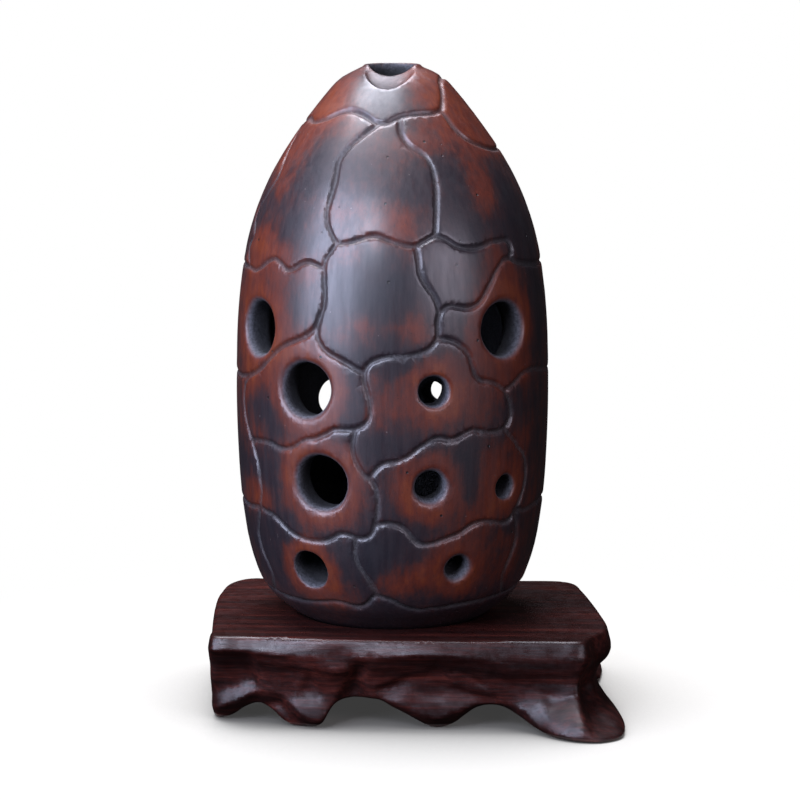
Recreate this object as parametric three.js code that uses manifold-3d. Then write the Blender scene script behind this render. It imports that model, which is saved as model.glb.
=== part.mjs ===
// A fired clay xun, an egg-shaped vessel flute, standing in the seat of its carved wooden stand.
// Millimetres, +Z up. The blowing edge and the nine front finger holes face -Y.
// Azimuths are degrees round the xun from its front, positive towards +X.
import * as THREE from 'three';
import { mergeVertices } from 'three/addons/utils/BufferGeometryUtils.js';
import Module from 'manifold-3d';

const wasm = await Module();
wasm.setup();

// Clay shell
const XUN_HEIGHT = 120;
const XUN_RADIUS = 33.9;
const FOOT_RADIUS = 17;
const WALL = 6.5;
const FLOOR_THICKNESS = 8;
const ROOF_THICKNESS = 9;
const XUN_TURN_DEG = -2.75;

// Mouth at the top
const MOUTH_BORE = 10.4;
const MOUTH_RIM = 13;
const LIP_RISE = 0.7;
const SCOOP_HALF_WIDTH = 5.5;
const SCOOP_HALF_LENGTH = 10.6;
const SCOOP_HALF_DEPTH = 1.9;
const SCOOP_SET_FORWARD = 3.2;
const SCOOP_LIFT = 0.9;
const SCOOP_TILT_DEG = 27;

// Finger holes: bore diameters and how far the clay is rounded off at their rims
const LARGE_BORE = 11.3;
const MIDDLE_BORE = 8.2;
const SMALL_BORE = 6.3;
const TINY_BORE = 4.8;
const SOFT_ROUNDING = 1.8;
const PLAIN_ROUNDING = 1.1;
const CRISP_ROUNDING = 0.6;

// Seams between the turtle-shell scutes
const SEAM_WIDTH = 1.2;
const SEAM_DEPTH = 0.7;
const SEAM_STEP = 1;
const SEAM_SAG = 0.38;

// Wooden stand
const STAND_LENGTH = 86.4;
const STAND_DEPTH = 61.4;
const STAND_HEIGHT = 20;
const BEVEL_HEIGHT = 4;
const BEVEL_OUT = { front: 1.8, right: 1.1, back: 1.5, left: 0.6 };
const WAIST = { front: 0.9, right: 2.2, back: 1.6, left: -0.4 };
const FLARE_POWER = { front: 1, right: 5, back: 1, left: 1 };
const SEAT_DEPTH = 1.7;
const SEAT_LEFT_OF_MIDDLE = 3.7;
const SEAT_BEHIND_MIDDLE = 1;

// Fits and facets
const GAP = 0.3;
const OVERRUN = 2;
const SHELL_SIDES = 44;
const SHELL_RINGS = 21;
const CHAMBER_SIDES = 30;
const CHAMBER_RINGS = 14;
const BORE_SIDES = 16;
const RIM_STEPS = 2;
const STAND_SIDES = 56;

// Outside of the egg: height and radius as shares of the xun's height and radius
const EGG_SHARES = [
  [0.012, 0.6], [0.03, 0.69], [0.05, 0.775], [0.074, 0.84], [0.1, 0.88], [0.14, 0.922],
  [0.19, 0.953], [0.25, 0.978], [0.325, 0.993], [0.4, 1], [0.47, 0.998], [0.545, 0.99],
  [0.62, 0.965], [0.69, 0.924], [0.745, 0.868], [0.8, 0.787], [0.85, 0.687], [0.89, 0.592],
  [0.925, 0.5], [0.955, 0.412], [0.977, 0.336], [0.992, 0.25],
];

// Air chamber: height and radius as shares of the chamber's own height and radius
const CHAMBER_SHARES = [
  [0, 0.45], [0.03, 0.66], [0.08, 0.8], [0.16, 0.9], [0.28, 0.97], [0.42, 1], [0.56, 0.985],
  [0.68, 0.93], [0.78, 0.83], [0.86, 0.7], [0.92, 0.56], [0.96, 0.43], [0.99, 0.28],
];

// Finger holes and, last, the two thumb holes: azimuth in degrees, height as a share of the xun's
// height, bore, rounding of the rim
const HOLE_PLACE_SHARES = [
  [-53, 0.55, LARGE_BORE, SOFT_ROUNDING],
  [51, 0.555, LARGE_BORE, SOFT_ROUNDING],
  [-27, 0.453, LARGE_BORE, SOFT_ROUNDING],
  [21, 0.455, SMALL_BORE, PLAIN_ROUNDING],
  [-21, 0.29, LARGE_BORE, SOFT_ROUNDING],
  [20, 0.287, SMALL_BORE, SOFT_ROUNDING],
  [-28.5, 0.128, MIDDLE_BORE, CRISP_ROUNDING],
  [32.5, 0.135, TINY_BORE, SOFT_ROUNDING],
  [52, 0.274, TINY_BORE, PLAIN_ROUNDING],
  [-146, 0.371, MIDDLE_BORE, PLAIN_ROUNDING],
  [166.5, 0.378, TINY_BORE, PLAIN_ROUNDING],
];

// Seams of the front: azimuth in degrees, height as a share of the xun's height
const FRONT_SEAM_SHARES = {
  collar: [
    [-90, 0.9], [-82, 0.905], [-72, 0.912], [-58, 0.907], [-47, 0.913], [-35, 0.925], [-25, 0.929],
    [-13, 0.921], [-5, 0.911], [3, 0.911], [9, 0.918], [16, 0.923], [28, 0.925], [38, 0.926], [45, 0.93],
  ],
  crest: [[45, 0.93], [51, 0.945], [59, 0.963], [67, 0.976], [90, 0.984]],
  shoulderRight: [[45, 0.93], [47, 0.915], [49, 0.9], [54, 0.882], [62, 0.87], [73, 0.86], [90, 0.855]],
  sideLeft: [
    [-82, 0.905], [-72, 0.86], [-64, 0.815], [-67, 0.785], [-73, 0.755], [-73, 0.732], [-68, 0.71],
    [-71, 0.685], [-66, 0.651],
  ],
  crownLeft: [
    [-16, 0.709], [-19, 0.726], [-21.5, 0.745], [-22.4, 0.765], [-22, 0.785], [-21.5, 0.81],
    [-22, 0.83], [-22, 0.848], [-19.5, 0.866], [-15.5, 0.88], [-10.5, 0.893], [-6, 0.903], [-3, 0.911],
  ],
  crownRight: [
    [11, 0.92], [11, 0.9], [12.5, 0.886], [16, 0.872], [20, 0.864], [24, 0.853], [26, 0.838],
    [26.4, 0.82], [26.2, 0.8], [25.3, 0.78], [24.6, 0.76], [24, 0.745], [23.2, 0.722],
  ],
  crownFoot: [
    [-16, 0.709], [-11, 0.711], [-7.3, 0.716], [-3.5, 0.722], [0, 0.723], [3.5, 0.718], [8, 0.711],
    [12, 0.706], [15, 0.706], [18, 0.712], [21, 0.719], [23.2, 0.722],
  ],
  upperLeft: [
    [-90, 0.655], [-78, 0.65], [-66, 0.651], [-59, 0.648], [-54, 0.656], [-50, 0.667], [-45, 0.674],
    [-41, 0.667], [-37.5, 0.658], [-34, 0.662], [-31, 0.67], [-28, 0.674], [-24, 0.671], [-20.5, 0.665],
  ],
  linkLeft: [[-16, 0.709], [-18, 0.695], [-20, 0.682], [-20.5, 0.665]],
  upperRight: [
    [23.2, 0.722], [26.5, 0.718], [29, 0.711], [32, 0.703], [36, 0.699], [40, 0.698], [44, 0.701],
    [48, 0.706], [52, 0.707], [58, 0.705], [59.5, 0.69], [57.5, 0.676],
  ],
  flankRight: [[57.5, 0.676], [61, 0.669], [65, 0.664], [70, 0.66], [78, 0.656], [90, 0.655]],
  slopeRight: [
    [57.5, 0.676], [54, 0.675], [51.5, 0.667], [48.6, 0.655], [46, 0.64], [43.5, 0.626], [41, 0.611],
    [38.5, 0.602], [35, 0.597], [31, 0.599], [28, 0.602], [26, 0.6], [24.3, 0.594], [23.2, 0.588],
  ],
  heartRight: [
    [15, 0.706], [15.8, 0.69], [16, 0.675], [16.4, 0.66], [17.6, 0.647], [19.3, 0.634], [21.2, 0.62],
    [22.6, 0.604], [23.2, 0.588], [22.6, 0.575], [22.6, 0.56], [22.4, 0.547],
  ],
  heartFoot: [
    [22.4, 0.547], [20.8, 0.536], [18.5, 0.527], [15, 0.521], [10, 0.518], [5, 0.517], [2, 0.514],
    [-1, 0.508], [-3, 0.499], [-4, 0.488],
  ],
  heartLeft: [
    [-20.5, 0.665], [-20.2, 0.65], [-19.7, 0.635], [-19.5, 0.618], [-19.7, 0.603], [-20.4, 0.59],
    [-21.3, 0.578], [-22, 0.567],
  ],
  chestLeft: [
    [-4, 0.488], [-7, 0.495], [-10, 0.503], [-13, 0.51], [-16, 0.517], [-18.5, 0.524], [-20.5, 0.535],
    [-22, 0.55], [-22, 0.567],
  ],
  middleLeft: [
    [-22, 0.567], [-24, 0.556], [-27, 0.546], [-31, 0.538], [-35, 0.53], [-38.5, 0.521], [-42, 0.509],
    [-45.5, 0.495], [-49, 0.482], [-53.5, 0.47], [-59.5, 0.461], [-65, 0.457], [-76, 0.455], [-90, 0.46],
  ],
  middleRight: [
    [22.4, 0.547], [25, 0.545], [28, 0.541], [30.5, 0.534], [33, 0.524], [34.6, 0.512], [35.4, 0.5],
    [36.3, 0.488], [37.5, 0.476], [39.5, 0.469], [42.5, 0.466], [45.3, 0.462], [48, 0.455], [50.5, 0.447],
  ],
  wingRight: [
    [50.5, 0.447], [54, 0.453], [57, 0.461], [60, 0.469], [64, 0.474], [70, 0.474], [78, 0.468], [90, 0.46],
  ],
  ribRight: [[50.5, 0.447], [52.3, 0.434], [53.4, 0.416], [53.5, 0.4], [52.2, 0.388], [50.5, 0.379]],
  ribLeft: [
    [-59.5, 0.461], [-63, 0.442], [-64, 0.42], [-63.5, 0.398], [-62, 0.38], [-59.5, 0.36], [-57.5, 0.346],
    [-54.5, 0.325], [-52.7, 0.305], [-52, 0.285], [-51.5, 0.262], [-52.3, 0.245], [-54, 0.226],
  ],
  spineUpper: [
    [-4, 0.488], [-3.9, 0.475], [-3.3, 0.462], [-2.5, 0.448], [-2, 0.435], [-1.8, 0.422], [-2.2, 0.41],
    [-3.5, 0.4], [-5.3, 0.393], [-7.3, 0.389],
  ],
  spineMiddle: [
    [-7.3, 0.389], [-7.8, 0.377], [-8.3, 0.363], [-8.2, 0.349], [-7.3, 0.334], [-5.8, 0.32], [-4, 0.309],
    [-2, 0.303],
  ],
  spineLower: [
    [-2, 0.303], [-0.3, 0.29], [0.7, 0.275], [0.8, 0.258], [0.6, 0.243], [0.2, 0.23], [-0.3, 0.218],
  ],
  flankLowRight: [
    [50.5, 0.379], [53, 0.367], [56.5, 0.353], [59, 0.34], [62, 0.328], [64, 0.31], [64.5, 0.29],
    [63.5, 0.265], [61.5, 0.245], [59, 0.225],
  ],
  hipRight: [
    [-0.3, 0.218], [1.2, 0.221], [4, 0.223], [7, 0.221], [9.5, 0.216], [11.5, 0.208], [13.3, 0.198],
    [15, 0.189], [17, 0.184], [20, 0.184], [23, 0.187], [26, 0.191], [29, 0.195], [31.8, 0.199],
    [33.8, 0.205], [36, 0.211], [38.5, 0.215], [42, 0.217], [46, 0.214], [50, 0.21], [53.5, 0.208],
    [56.5, 0.213], [59, 0.225], [66, 0.222], [76, 0.225], [90, 0.228],
  ],
  hipLeft: [
    [-0.3, 0.218], [-1.2, 0.208], [-2.5, 0.199], [-4.5, 0.195], [-7.5, 0.196], [-9.5, 0.199],
    [-12, 0.201], [-14, 0.2], [-16, 0.195], [-18.5, 0.189], [-21.5, 0.185], [-25, 0.184],
    [-28.5, 0.185], [-32, 0.188], [-35, 0.193], [-37.5, 0.199], [-40, 0.207], [-42.5, 0.214],
    [-45, 0.219], [-48.5, 0.222], [-54, 0.226], [-64, 0.222], [-76, 0.226], [-90, 0.228],
  ],
  tailMiddle: [
    [-7.5, 0.196], [-8, 0.18], [-8, 0.165], [-7.5, 0.152], [-6.2, 0.139], [-4.5, 0.126], [-2.6, 0.112],
    [-1, 0.098], [-0.6, 0.087],
  ],
  tailLeft: [
    [-54, 0.226], [-56, 0.204], [-58, 0.182], [-58, 0.163], [-57, 0.143], [-55, 0.124], [-54, 0.105],
    [-56, 0.085], [-60, 0.066],
  ],
  tailRight: [[59, 0.225], [61, 0.2], [62, 0.17], [60, 0.14], [58, 0.11], [60, 0.085], [64, 0.066]],
  hem: [
    [-90, 0.07], [-75, 0.068], [-60, 0.066], [-40, 0.062], [-28, 0.066], [-20, 0.071], [-15, 0.069],
    [-11, 0.064], [-7.5, 0.065], [-5, 0.071], [-2.4, 0.083], [-0.6, 0.087], [3, 0.083], [6.5, 0.077],
    [9, 0.07], [12, 0.064], [15, 0.06], [18.5, 0.057], [23, 0.059], [28, 0.059], [36, 0.062],
    [50, 0.064], [64, 0.066], [76, 0.069], [90, 0.07],
  ],
};

// The two seams that pass the finger holes on the front only
const FRONT_BELLY_SHARES = {
  bellyRight: [
    [50.5, 0.379], [46, 0.376], [42, 0.377], [39, 0.38], [36, 0.383], [33.7, 0.38], [30.5, 0.373],
    [27.6, 0.369], [24.8, 0.371], [22.6, 0.373], [20, 0.37], [18, 0.364], [15, 0.355], [12.5, 0.345],
    [10, 0.338], [7, 0.333], [4, 0.331], [1.5, 0.325], [-0.5, 0.315], [-2, 0.303],
  ],
  bellyLeft: [
    [-7.3, 0.389], [-10, 0.388], [-13, 0.388], [-15.5, 0.386], [-17.5, 0.38], [-20, 0.374],
    [-23, 0.368], [-26, 0.366], [-29, 0.359], [-31.5, 0.351], [-34.5, 0.346], [-37.5, 0.344],
    [-40.5, 0.346], [-44, 0.35], [-50, 0.35], [-57.5, 0.346],
  ],
};

// The same two seams on the back, led round the thumb holes
const BACK_BELLY_SHARES = {
  bellyRight: [
    [50.5, 0.379], [42, 0.377], [36, 0.383], [30.5, 0.373], [26, 0.36], [21, 0.345], [15, 0.335],
    [10, 0.331], [5, 0.328], [1.5, 0.322], [-2, 0.303],
  ],
  bellyLeft: [
    [-7.3, 0.389], [-12, 0.38], [-17, 0.36], [-22, 0.335], [-30, 0.318], [-38, 0.314], [-45, 0.325],
    [-50, 0.34], [-57.5, 0.346],
  ],
};

// Stand outlines, anticlockwise from the front left corner: the top edge and the sole line,
// each as shares of half the stand's length and depth
const STAND_OUTLINE_SHARES = [
  [-0.93, -0.93, -0.93, -0.74],
  [-0.78, -0.94, -0.82, -0.82],
  [-0.64, -0.95, -0.66, -0.9],
  [-0.43, -0.985, -0.45, -0.96],
  [-0.17, -0.995, -0.17, -0.94],
  [0.09, -1, 0.12, -0.93],
  [0.34, -0.995, 0.36, -0.93],
  [0.56, -0.985, 0.6, -0.97],
  [0.76, -0.98, 0.79, -1.15],
  [0.885, -0.965, 0.93, -1.22],
  [0.925, -0.8, 1.06, -1.1],
  [0.985, -0.66, 1.085, -0.85],
  [1, -0.45, 1.06, -0.5],
  [0.963, -0.02, 0.99, -0.02],
  [0.915, 0.4, 0.97, 0.46],
  [0.875, 0.7, 0.98, 0.82],
  [0.835, 0.92, 0.95, 1.06],
  [0.76, 1, 0.82, 1.12],
  [0.5, 1, 0.52, 1],
  [0.2, 1, 0.2, 0.95],
  [-0.1, 1, -0.1, 0.94],
  [-0.45, 0.995, -0.46, 0.96],
  [-0.72, 0.99, -0.76, 1.02],
  [-0.89, 0.965, -0.96, 1.02],
  [-0.97, 0.82, -1.02, 0.84],
  [-1, 0.45, -0.99, 0.45],
  [-0.993, 0.06, -0.95, 0.06],
  [-0.963, -0.42, -0.93, -0.4],
  [-0.945, -0.72, -0.955, -0.58],
];

// Stand wall: height share, how far from the top line to the sole line, how much of the waist,
// how much of the bevel's overhang
const STAND_WALL_SHARES = [
  [0, 1, 0, 0],
  [0.05, 1, 0, 0.35],
  [0.14, 0.9, 0.1, 0.4],
  [0.26, 0.66, 0.45, 0.2],
  [0.38, 0.4, 0.85, 0],
  [0.5, 0.2, 1, 0],
  [0.62, 0.08, 0.7, 0.1],
  [0.72, 0.02, 0.2, 0.75],
];

// Lower edge of the worn bevel: place along the length as a share of half the length, height share
const BEVEL_FOOT_SHARES = [
  [-1, 0.806], [-0.787, 0.822], [-0.69, 0.817], [-0.567, 0.801], [-0.494, 0.781], [-0.42, 0.76],
  [-0.37, 0.732], [-0.313, 0.703], [-0.25, 0.728], [-0.2, 0.767], [-0.1, 0.804], [0, 0.826],
  [0.07, 0.844], [0.19, 0.853], [0.286, 0.834], [0.383, 0.8], [0.456, 0.771], [0.505, 0.735],
  [0.58, 0.737], [0.72, 0.757], [0.82, 0.772], [1, 0.785],
];

// Clear line under the front and the back of the stand: place along the length as a share of half
// the length, height above the sole as a share of the stand's height
const FRONT_ARCH_SHARES = [
  [[-0.9, 0], [-0.84, 0.07], [-0.78, 0.17], [-0.71, 0.225], [-0.65, 0.17], [-0.59, 0.06], [-0.55, 0]],
  [[-0.42, 0], [-0.39, 0.06], [-0.365, 0.16], [-0.33, 0.27], [-0.28, 0.31], [-0.2, 0.325],
    [-0.11, 0.315], [-0.05, 0.23], [0.02, 0.15], [0.08, 0.07], [0.13, 0]],
  [[0.21, 0], [0.26, 0.06], [0.31, 0.15], [0.36, 0.23], [0.42, 0.265], [0.49, 0.25], [0.56, 0.17],
    [0.64, 0.07], [0.72, 0]],
];

// Clear line under the two ends: place along the depth as a share of half the depth, height as above
const END_ARCH_SHARES = [
  [-0.5, 0], [-0.42, 0.12], [-0.3, 0.24], [0, 0.3], [0.3, 0.24], [0.42, 0.12], [0.5, 0],
];

const radians = THREE.MathUtils.degToRad;
const clay = new THREE.MeshStandardMaterial({ color: 0x6b4038, roughness: 0.38, metalness: 0 });
const wood = new THREE.MeshStandardMaterial({ color: 0x5a2c22, roughness: 0.5, metalness: 0 });

// Makes a closed geometry a solid
function solid(geometry) {
  const bare = geometry.index ? geometry.clone() : geometry;
  bare.deleteAttribute('normal');
  bare.deleteAttribute('uv');
  const merged = mergeVertices(bare, GAP / 1000);
  return new wasm.Manifold(new wasm.Mesh({
    numProp: 3,
    vertProperties: new Float32Array(merged.attributes.position.array),
    triVerts: new Uint32Array(merged.index.array),
  }));
}

// Turns a solid back into a geometry with flat facets
function geometryOf(body) {
  const mesh = body.getMesh();
  const geometry = new THREE.BufferGeometry();
  geometry.setAttribute('position', new THREE.BufferAttribute(new Float32Array(mesh.vertProperties), 3));
  geometry.setIndex(new THREE.BufferAttribute(new Uint32Array(mesh.triVerts), 1));
  const flat = geometry.toNonIndexed();
  flat.computeVertexNormals();
  return flat;
}

// A lathe profile of [radius, height] pairs becomes a solid round +Z
function turned(pairs, sides) {
  const profile = pairs.map(([radius, height]) => new THREE.Vector2(radius, height));
  const lathe = new THREE.LatheGeometry(profile, sides);
  lathe.rotateX(Math.PI / 2);
  return solid(lathe);
}

// A smooth line through [height share, radius share] rows
function smoothProfile(rows, height, radius, count) {
  const points = rows.map(([up, out]) => new THREE.Vector3(out * radius, up * height, 0));
  return new THREE.CatmullRomCurve3(points, false, 'centripetal').getSpacedPoints(count);
}

const eggLine = smoothProfile(
  [[0, FOOT_RADIUS / XUN_RADIUS], ...EGG_SHARES, [1, MOUTH_RIM / 2 / XUN_RADIUS]],
  XUN_HEIGHT, XUN_RADIUS, SHELL_RINGS * 8);

// Radius of the egg at a height above its base
function eggRadius(height) {
  const above = eggLine.findIndex((point) => point.y >= height);
  if (above <= 0) return above === 0 ? eggLine[0].x : eggLine[eggLine.length - 1].x;
  const low = eggLine[above - 1];
  const high = eggLine[above];
  return THREE.MathUtils.mapLinear(height, low.y, high.y, low.x, high.x);
}

// Point on the egg and the direction out of it there
function onEgg(azimuth, heightShare) {
  const height = heightShare * XUN_HEIGHT;
  const step = XUN_HEIGHT / 500;
  const radius = eggRadius(height);
  const slope = (eggRadius(height + step) - eggRadius(height - step)) / (2 * step);
  const angle = radians(azimuth);
  const across = new THREE.Vector3(Math.sin(angle), -Math.cos(angle), 0);
  const point = across.clone().multiplyScalar(radius).setZ(height);
  const out = across.clone().setZ(-slope).normalize();
  return { point, out };
}

// Outer shell of clay, closed, with its flat foot and its small lip
function eggSolid() {
  const rings = smoothProfile(
    [[0, FOOT_RADIUS / XUN_RADIUS], ...EGG_SHARES, [1, MOUTH_RIM / 2 / XUN_RADIUS]],
    XUN_HEIGHT, XUN_RADIUS, SHELL_RINGS);
  const side = rings.map((point) => [point.x, point.y]);
  const lipTop = XUN_HEIGHT + LIP_RISE;
  const lipRadius = (MOUTH_RIM + MOUTH_BORE) / 4;
  return turned([[0, 0], ...side, [lipRadius, lipTop], [0, lipTop]], SHELL_SIDES);
}

// Air chamber with its round neck up to the mouth
function chamberSolid() {
  const height = XUN_HEIGHT - FLOOR_THICKNESS - ROOF_THICKNESS;
  const radius = XUN_RADIUS - WALL;
  const rings = smoothProfile(CHAMBER_SHARES, height, radius, CHAMBER_RINGS);
  const side = rings.map((point) => [point.x, point.y + FLOOR_THICKNESS]);
  const neck = MOUTH_BORE / 2;
  const top = XUN_HEIGHT + LIP_RISE + OVERRUN;
  const neckSide = [[neck, height + FLOOR_THICKNESS], [neck, top]];
  return turned([[0, FLOOR_THICKNESS], ...side, ...neckSide, [0, top]], CHAMBER_SIDES);
}

// Sloping hollow in front of the mouth, which makes the blowing edge
function scoopSolid() {
  const ball = new THREE.SphereGeometry(1, CHAMBER_SIDES, CHAMBER_RINGS);
  ball.scale(SCOOP_HALF_WIDTH, SCOOP_HALF_LENGTH, SCOOP_HALF_DEPTH);
  ball.rotateX(radians(SCOOP_TILT_DEG));
  ball.translate(0, -SCOOP_SET_FORWARD, XUN_HEIGHT + SCOOP_LIFT);
  return solid(ball);
}

// One finger hole: a straight bore through the wall with a rounded rim
function holeSolid(azimuth, heightShare, bore, rounding) {
  const radius = bore / 2;
  const rim = [];
  for (let step = 0; step <= RIM_STEPS; step += 1) {
    const turn = (Math.PI / 2) * (step / RIM_STEPS);
    rim.push([radius + rounding * (1 - Math.cos(turn)), rounding * (Math.sin(turn) - 1)]);
  }
  const flare = radius + rounding;
  const inner = -(WALL + radius);
  const cutter = turned([[0, inner], [radius, inner], ...rim, [flare, OVERRUN], [0, OVERRUN]], BORE_SIDES);
  const { point, out } = onEgg(azimuth, heightShare);
  const turn = new THREE.Quaternion().setFromUnitVectors(new THREE.Vector3(0, 0, 1), out);
  const place = new THREE.Matrix4().compose(point, turn, new THREE.Vector3(1, 1, 1));
  return cutter.transform(place.elements);
}

// Keeps only the places where a line stands out from its chords by more than the seam's sag
function thinned(places) {
  const last = places[places.length - 1];
  const chord = new THREE.Line3(places[0].point, last.point);
  let farthest = 0;
  let most = SEAM_SAG;
  places.forEach(({ point }, index) => {
    const off = chord.closestPointToPoint(point, true, new THREE.Vector3()).distanceTo(point);
    if (off > most) {
      most = off;
      farthest = index;
    }
  });
  if (farthest === 0) return [places[0], last];
  return [...thinned(places.slice(0, farthest + 1)), ...thinned(places.slice(farthest)).slice(1)];
}

// A seam cutter: a three-sided bar that follows the line on the egg, its edge down in the clay
function seamSolid(rows) {
  const knots = rows.map(([azimuth, share]) =>
    new THREE.Vector3(radians(azimuth) * XUN_RADIUS, share * XUN_HEIGHT, 0));
  const line = new THREE.CatmullRomCurve3(knots, false, 'centripetal');
  const count = Math.max(2, Math.round(line.getLength() / SEAM_STEP));
  const places = thinned(line.getSpacedPoints(count).map((knot) =>
    onEgg(THREE.MathUtils.radToDeg(knot.x / XUN_RADIUS), knot.y / XUN_HEIGHT)));
  const over = SEAM_DEPTH;
  const half = (SEAM_WIDTH / 2) * ((SEAM_DEPTH + over) / SEAM_DEPTH);
  const vertices = [];
  places.forEach(({ point, out }, index) => {
    const before = places[Math.max(0, index - 1)].point;
    const after = places[Math.min(places.length - 1, index + 1)].point;
    const along = after.clone().sub(before).normalize();
    const side = along.clone().cross(out).normalize();
    vertices.push(point.clone().addScaledVector(out, -SEAM_DEPTH));
    vertices.push(point.clone().addScaledVector(out, over).addScaledVector(side, half));
    vertices.push(point.clone().addScaledVector(out, over).addScaledVector(side, -half));
  });
  const faces = [0, 1, 2];
  for (let ring = 0; ring < places.length - 1; ring += 1) {
    for (let corner = 0; corner < 3; corner += 1) {
      const here = ring * 3 + corner;
      const next = ring * 3 + ((corner + 1) % 3);
      faces.push(here, here + 3, next, next, here + 3, next + 3);
    }
  }
  const last = (places.length - 1) * 3;
  faces.push(last, last + 2, last + 1);
  return new wasm.Manifold(new wasm.Mesh({
    numProp: 3,
    vertProperties: new Float32Array(vertices.flatMap((vertex) => vertex.toArray())),
    triVerts: new Uint32Array(faces),
  }));
}

// Seams of the back run as those of the front, seen in a mirror that stands between the two
function behind(rows) {
  return rows.map(([azimuth, share]) => [180 - azimuth, share]);
}

function seamsSolid() {
  const front = [...Object.values(FRONT_SEAM_SHARES), ...Object.values(FRONT_BELLY_SHARES)];
  const back = [...Object.values(FRONT_SEAM_SHARES), ...Object.values(BACK_BELLY_SHARES)].map(behind);
  return [...front, ...back].map(seamSolid).reduce((all, seam) => all.add(seam));
}

// The xun: one piece of fired clay
function xunBody() {
  let body = eggSolid().subtract(seamsSolid()).subtract(chamberSolid()).subtract(scoopSolid());
  for (const [azimuth, share, bore, rounding] of HOLE_PLACE_SHARES) {
    body = body.subtract(holeSolid(azimuth, share, bore, rounding));
  }
  const mesh = new THREE.Mesh(geometryOf(body), clay);
  mesh.name = 'xun_body';
  return mesh;
}

// A closed smooth ring through one pair of columns of the stand's outline table
function standRing(column) {
  const knots = STAND_OUTLINE_SHARES.map((row) =>
    new THREE.Vector3(row[column] * (STAND_LENGTH / 2), row[column + 1] * (STAND_DEPTH / 2), 0));
  const curve = new THREE.CatmullRomCurve3(knots, true, 'centripetal');
  const points = [];
  for (let index = 0; index < STAND_SIDES; index += 1) points.push(curve.getPoint(index / STAND_SIDES));
  return points;
}

// A value of the stand on the side that a direction out of it points to, blended round its corners
function bySide(values, out) {
  const lengthwise = out.x > 0 ? values.right : values.left;
  const crosswise = out.y > 0 ? values.back : values.front;
  return lengthwise * out.x ** 2 + crosswise * out.y ** 2;
}

// Height share of the bevel's lower edge at a place along the stand
function bevelFoot(place) {
  const above = BEVEL_FOOT_SHARES.findIndex(([along]) => along >= place);
  if (above <= 0) return BEVEL_FOOT_SHARES[above === 0 ? 0 : BEVEL_FOOT_SHARES.length - 1][1];
  const [before, low] = BEVEL_FOOT_SHARES[above - 1];
  const [after, high] = BEVEL_FOOT_SHARES[above];
  return THREE.MathUtils.mapLinear(place, before, after, low, high);
}

// The block of the stand: its wall runs from the sole line in to the waist and out to the bevel
function standBlock() {
  const topRing = standRing(0);
  const soleRing = standRing(2);
  const plainFoot = 1 - BEVEL_HEIGHT / STAND_HEIGHT;
  const levels = [...STAND_WALL_SHARES, [plainFoot, 0, 0, 1], [1, 0, 0, 0]];
  const vertices = [];
  for (const [up, toSole, waisted, overhang] of levels) {
    for (let index = 0; index < STAND_SIDES; index += 1) {
      const before = topRing[(index + STAND_SIDES - 1) % STAND_SIDES];
      const after = topRing[(index + 1) % STAND_SIDES];
      const along = after.clone().sub(before).normalize();
      const out = new THREE.Vector3(along.y, -along.x, 0);
      const point = topRing[index].clone().lerp(soleRing[index], toSole ** bySide(FLARE_POWER, out));
      const foot = bevelFoot(topRing[index].x / (STAND_LENGTH / 2));
      const height = up < 1 ? (up / plainFoot) * foot : up;
      point.addScaledVector(out, overhang * bySide(BEVEL_OUT, out) - waisted * bySide(WAIST, out));
      vertices.push(point.setZ(height * STAND_HEIGHT));
    }
  }
  const faces = [];
  for (let level = 0; level < levels.length - 1; level += 1) {
    for (let index = 0; index < STAND_SIDES; index += 1) {
      const here = level * STAND_SIDES + index;
      const next = level * STAND_SIDES + ((index + 1) % STAND_SIDES);
      faces.push(here, next, here + STAND_SIDES, next, next + STAND_SIDES, here + STAND_SIDES);
    }
  }
  const lowCentre = vertices.length;
  vertices.push(new THREE.Vector3(0, 0, 0), new THREE.Vector3(0, 0, STAND_HEIGHT));
  const topStart = (levels.length - 1) * STAND_SIDES;
  for (let index = 0; index < STAND_SIDES; index += 1) {
    const next = (index + 1) % STAND_SIDES;
    faces.push(lowCentre, next, index, lowCentre + 1, topStart + index, topStart + next);
  }
  return new wasm.Manifold(new wasm.Mesh({
    numProp: 3,
    vertProperties: new Float32Array(vertices.flatMap((vertex) => vertex.toArray())),
    triVerts: new Uint32Array(faces),
  }));
}

// A smooth arch between two feet, as a bar that runs right through under the stand
function archSolid(rows, halfSpan, reach) {
  const knots = rows.map(([along, up]) => new THREE.Vector3(along * halfSpan, up * STAND_HEIGHT, 0));
  const crown = new THREE.CatmullRomCurve3(knots, false, 'centripetal').getPoints(rows.length * 2);
  const shape = new THREE.Shape();
  shape.moveTo(crown[0].x, -OVERRUN);
  crown.forEach((point) => shape.lineTo(point.x, point.y));
  shape.lineTo(crown[crown.length - 1].x, -OVERRUN);
  shape.closePath();
  const bar = new THREE.ExtrudeGeometry(shape, { depth: reach, bevelEnabled: false });
  bar.translate(0, 0, -reach / 2);
  bar.rotateX(Math.PI / 2);
  return bar;
}

// The round seat, which follows the foot of the xun at the clearance of the fit
function seatSolid() {
  const rings = 6;
  const side = [];
  for (let ring = 0; ring <= rings; ring += 1) {
    const height = (SEAT_DEPTH / rings) * ring;
    side.push([eggRadius(height) + GAP, STAND_HEIGHT - SEAT_DEPTH + height]);
  }
  const floor = STAND_HEIGHT - SEAT_DEPTH - GAP;
  const mouth = side[side.length - 1][0];
  const above = STAND_HEIGHT + OVERRUN;
  return turned([[0, floor], [FOOT_RADIUS + GAP, floor], ...side, [mouth, above], [0, above]], SHELL_SIDES)
    .translate([-SEAT_LEFT_OF_MIDDLE, SEAT_BEHIND_MIDDLE, 0]);
}

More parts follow.
